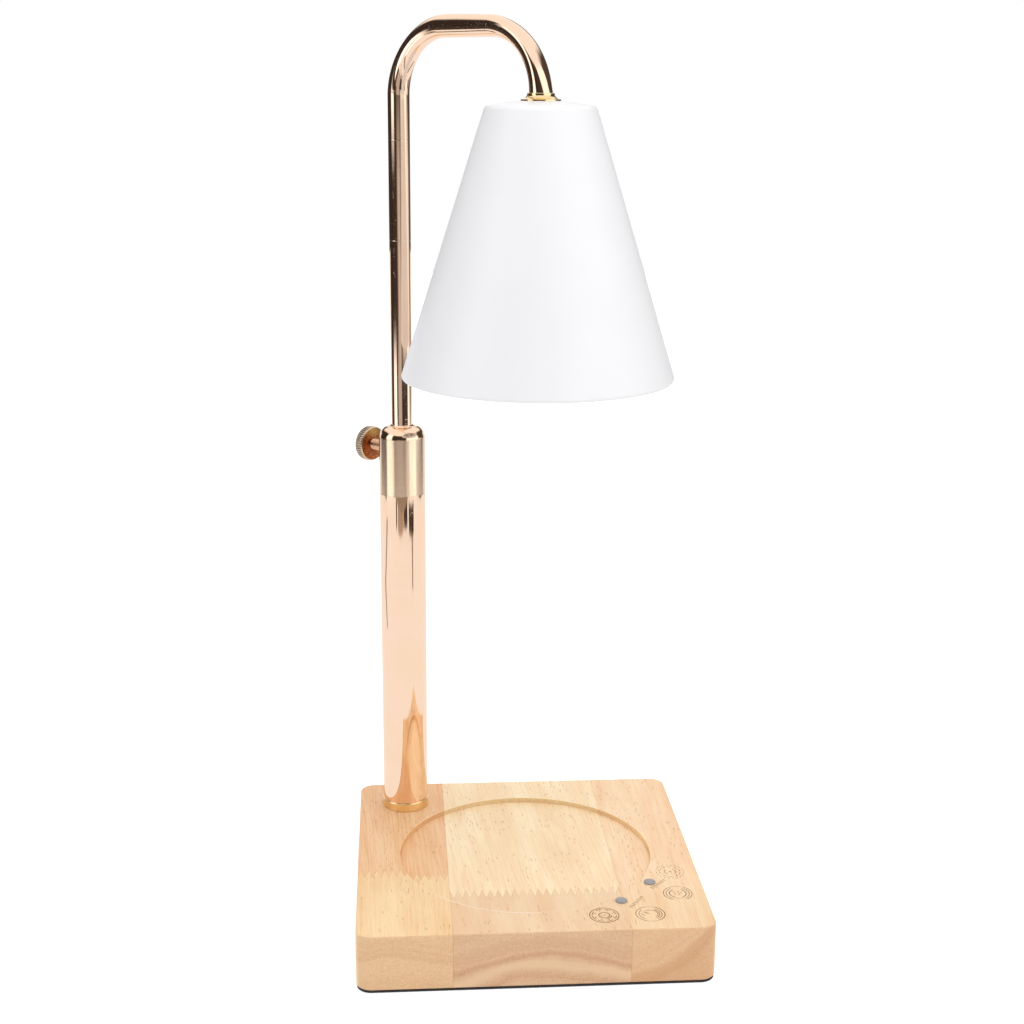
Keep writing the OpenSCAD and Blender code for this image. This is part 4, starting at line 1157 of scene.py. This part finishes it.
# %% Other finishes
FINISHES = {
    "zinc_steel": grained("zinc_plate", (0.62, 0.63, 0.66), 0.30, metal=1.0, variation=0.25),
    "raw_steel": grained("mill_steel", (0.32, 0.32, 0.34), 0.45, metal=1.0, variation=0.4, tooth=0.03),
    "circuit_board": grained("solder_mask", (0.02, 0.14, 0.05), 0.35, variation=0.3, tooth=0.02),
    "nylon": grained("natural_nylon", (0.80, 0.78, 0.70), 0.45, variation=0.08, Subsurface_Weight=0.1),
    "black_parts": grained("moulded_black", (0.03, 0.03, 0.033), 0.35, variation=0.3),
    "white_lead": grained("white_lead", (0.78, 0.78, 0.76), 0.45, variation=0.08),
    "black_rubber": grained("moulded_rubber", (0.03, 0.03, 0.03), 0.7, variation=0.3, tooth=0.03),
    "black_cable": FLEX,
    "white_ceramic": grained("ceramic", (0.82, 0.81, 0.77), 0.55, variation=0.10, tooth=0.02),
    "copper_alloy": grained("spring_bronze", (0.75, 0.46, 0.26), 0.28, metal=1.0, variation=0.2),
    "clear_glass": GLASS,
    "silvered_glass": SILVER,
    "polished_brass": BRASS,
    "rose_gold": ROSE_GOLD,
    "turned_brass": TURNED_BRASS,
    "knurled_brass": KNURLED,
    "wood": WOOD,
    "black_pad": PAD_BLACK,
    "grey_button": KEY_GREY,
    "white_shade": SHADE_WHITE,
}
slots = {part["node"]: part["material_slot"] for part in frame["record"]["subparts"]}
for name, node in frame["nodes"].items():
    node.data.materials.clear()
    node.data.materials.append(FINISHES[slots[name]])
print("finishes on", len(frame["nodes"]), "nodes")

# %% [markdown]
# The room. The camera sees plain white. Matt surfaces get even light from all
# round. Polished ones mirror a studio: dark walls between bright windows and
# a white ceiling, from stops round the lamp at three heights. A panorama
# picture could do the same, but a few stops can be read and changed.

# %% Room
# each stop is degrees from the front, positive to the right; brightness; how brown
ABOVE = ((-180, 1.0, 0), (-174, 1.0, 0), (-168, 0.06, 1), (-88, 0.035, 1), (-80, 1.6, 0), (-56, 1.6, 0),
         (-50, 0.04, 1), (18, 0.06, 1), (26, 1.4, 0), (84, 1.4, 0), (92, 0.08, 1), (168, 0.08, 1),
         (174, 1.0, 0), (180, 1.0, 0))
LEVEL_WITH = ((-180, 1.0, 0), (-170, 1.0, 0), (-162, 0.06, 1), (-100, 0.035, 1), (-38, 0.05, 1),
              (-30, 0.10, 1), (-22, 0.50, 0.6), (-12, 0.62, 0.3), (0, 0.60, 0.3), (8, 0.30, 1),
              (15, 0.4, 0.5), (22, 1.0, 0), (36, 1.2, 0), (74, 1.2, 0), (82, 1.0, 0), (104, 1.0, 0),
              (112, 0.15, 1), (162, 0.10, 1), (170, 1.0, 0), (180, 1.0, 0))
BELOW = ((-180, 1.0, 0), (-148, 1.0, 0), (-138, 0.12, 1), (-90, 0.05, 1), (-82, 1.7, 0), (-55, 1.7, 0),
         (-48, 0.05, 1), (-40, 0.08, 1), (-30, 0.55, 0.4), (-2, 0.55, 0.4), (8, 0.05, 1), (66, 0.05, 1),
         (74, 1.4, 0), (90, 1.4, 0), (98, 0.35, 0.8), (140, 0.35, 0.8), (150, 1.0, 0), (180, 1.0, 0))
CEILING = (1.08, 1.04, 1.02)


def walls(net, turn, stops):
    """The walls' colour at a turn, which goes from 0 to 1 round the lamp from behind it."""
    node = net.node("ValToRGB", {"Fac": turn})
    marks = node.color_ramp.elements
    while len(marks) < len(stops):
        marks.new(0.5)
    for mark, (at, bright, brown) in zip(marks, stops):
        mark.position = (at + 180) / 360
        mark.color = (bright, bright * (1 - 0.25 * brown), bright * (1 - 0.35 * brown), 1.0)
    return Value(net, node.outputs["Color"])


def studio(net):
    """What a mirror sees, by its direction."""
    x, y, z = net.add("TexCoord", out="Generated").split()
    high = net.math("ARCSINE", z) * (180 / pi)
    around = net.math("ARCTAN2", x, y * -1.0) * (180 / pi)
    turn = net.math("DIVIDE", around + 180.0, 360.0)
    color = net.mix(high.step(-10.5, -8.0), walls(net, turn, BELOW), walls(net, turn, LEVEL_WITH))
    color = net.mix(high.step(-3.5, -0.5), color, walls(net, turn, ABOVE))
    lift = high + abs(around).step(112.0, 152.0, 0.0, 16.0)
    soft = net.mix(x.step(-1.0, 0.6), (0.91, 0.91, 0.925), (0.935, 0.935, 0.935))
    return net.mix(lift.step(34.0, 46.0), color, CEILING), soft


def make_world():
    world = bpy.data.worlds.new("studio")
    bpy.context.scene.world = world
    world.use_nodes = True
    world.node_tree.nodes.clear()
    net = Net(world.node_tree)
    mirrored, soft = (net.add("Background", {"Color": color}) for color in studio(net))
    plain = net.add("Background", {"Color": (1, 1, 1, 1)})
    ray = net.parts("LightPath")
    glossy = net.add("MixShader", {0: ray["Is Glossy Ray"], 1: soft, 2: mirrored})
    direct = ray["Is Camera Ray"].most(ray["Is Transmission Ray"])
    net.node("OutputWorld", {"Surface": net.add("MixShader", {0: direct, 1: glossy, 2: plain})})


make_world()
print("room ready")

# %% [markdown]
# Cards that only mirrors see: the white table, pale cards behind the lamp,
# windows and dark cards round the collar, and dark strips and low dark cards
# on and along the table. The room looks alike from every spot. Cards have a
# place, so each piece mirrors them in its own way, as in a real studio.

# %% Cards
DARK = (0.045, 0.03, 0.024)


def card(name, corners, color):
    """A flat card, from its corners."""
    piece = add_mesh(name, corners, [tuple(range(len(corners)))])
    material, net = new_material(name)
    net.surface(net.add("Emission", {"Color": (*color, 1)}))
    piece.data.materials.append(material)
    for ray in ("camera", "diffuse", "transmission", "volume_scatter", "shadow"):
        setattr(piece, "visible_" + ray, False)


def around_column(distance, angle):
    """A spot on the table, seen from the column in a direction from the front, positive to the right."""
    x, y = polar(distance, angle - 90)
    return COLUMN_AT[0] + x, COLUMN_AT[1] + y


def upright_card(name, distance, start, end, low, high, color, far=None):
    """A card round the column between two directions, upright from low to high."""
    ends = around_column(distance, start), around_column(far or distance, end)
    card(name, [(*ends[0], low), (*ends[1], low), (*ends[1], high), (*ends[0], high)], color)


def floor_strip(name, edges, color):
    """A strip on the table between two directions at each distance: (distance, start, end)."""
    spots = [around_column(distance, start) for distance, start, _ in edges]
    spots += [around_column(distance, end) for distance, _, end in reversed(edges)]
    card(name, [(x, y, 0.3) for x, y in spots], color)


card("table_card", [(-760, -640, 0.1)] + [(*around_column(950, a), 0.1) for a in range(43, 89, 9)]
     + [(900, 900, 0.1), (-760, 900, 0.1)], (1.02, 1.0, 0.99))
for side, start, end in (("left", -176, -130), ("right", 130, 176)):
    upright_card("back_card_" + side, 300, start, end, 0.2, 262, (1.0, 0.98, 0.97))
for side, start, end, glow in (("left", -79, -43, 2.6), ("right", 35, 69, 2.4)):
    upright_card("collar_window_" + side, 300, start, end, 111, 150, (glow, glow * 0.96, glow * 0.86))
for side, start, end, tone in (("left", -122, -83, 0.10), ("middle", -39, 31, 0.34),
                               ("right", 73, 122, 0.16)):
    upright_card("collar_dark_" + side, 300, start, end, 111, 150, (tone, tone * 0.78, tone * 0.6))
floor_strip("dark_strip_left", [(640, -90, -82), (455, -108, -100), (350, -96, -90)], (0.40, 0.33, 0.29))
floor_strip("dark_strip_right", [(600, 43, 50), (440, 44, 49)], (0.35, 0.28, 0.24))
upright_card("dark_card_a", 618, 4, 22, 0.2, 27, DARK)
upright_card("dark_card_b", 600, 29, 55, 0.2, 27, DARK)
upright_card("brown_card", 600, -25, 3, 0.2, 27, (0.45, 0.33, 0.25), far=610)
upright_card("dark_card_c", 612, -35, -29, 0.2, 25, (0.10, 0.07, 0.05))
print("cards ready")

# %% [markdown]
# One soft lamp overhead, which mirrors don't see, and a plain pale floor. The
# camera sees the floor a little brighter than it is, so it turns white like
# the page, and only the lamp's soft shadow is left on it.

# %% Light and floor
CEILING_AT, CEILING_AIM = Vector((0.25, -0.35, 1.2)), Vector((0, 0, 0.1))
CEILING_SIZE, CEILING_POWER = 0.9, 3.3
FLOOR_HALF, FLOOR_Z, FLOOR_GLOW = 2500, -0.05, 0.42


def ceiling_lamp():
    light = bpy.data.lights.new("ceiling", "AREA")
    light.shape, light.size, light.energy = "SQUARE", CEILING_SIZE, CEILING_POWER
    holder = bpy.data.objects.new("ceiling", light)
    bpy.context.collection.objects.link(holder)
    holder.location = CEILING_AT
    holder.rotation_euler = (CEILING_AIM - CEILING_AT).to_track_quat("-Z", "Y").to_euler()
    holder.visible_glossy = False


def floor_material():
    material, net = new_material("pale_floor")
    cloud = net.spot().noise(3.0)
    net.shader(Base_Color=net.mix(cloud, (0.90, 0.90, 0.90), (0.92, 0.92, 0.92)), Roughness=0.9)
    seen = net.add("LightPath", out="Is Camera Ray") * FLOOR_GLOW
    matt = Value(net, net.tree.nodes["Principled BSDF"].outputs[0])
    glow = net.add("Emission", {"Strength": seen})
    net.surface(net.add("AddShader", {0: matt, 1: glow}))
    return material


def make_floor():
    corners = [(FLOOR_HALF * x, FLOOR_HALF * y, FLOOR_Z) for x, y in ((-1, -1), (1, -1), (1, 1), (-1, 1))]
    floor = add_mesh("floor", corners, [(0, 1, 2, 3)])
    floor.data.materials.append(floor_material())
    floor.visible_glossy = False


ceiling_lamp()
make_floor()
print("light and floor ready")
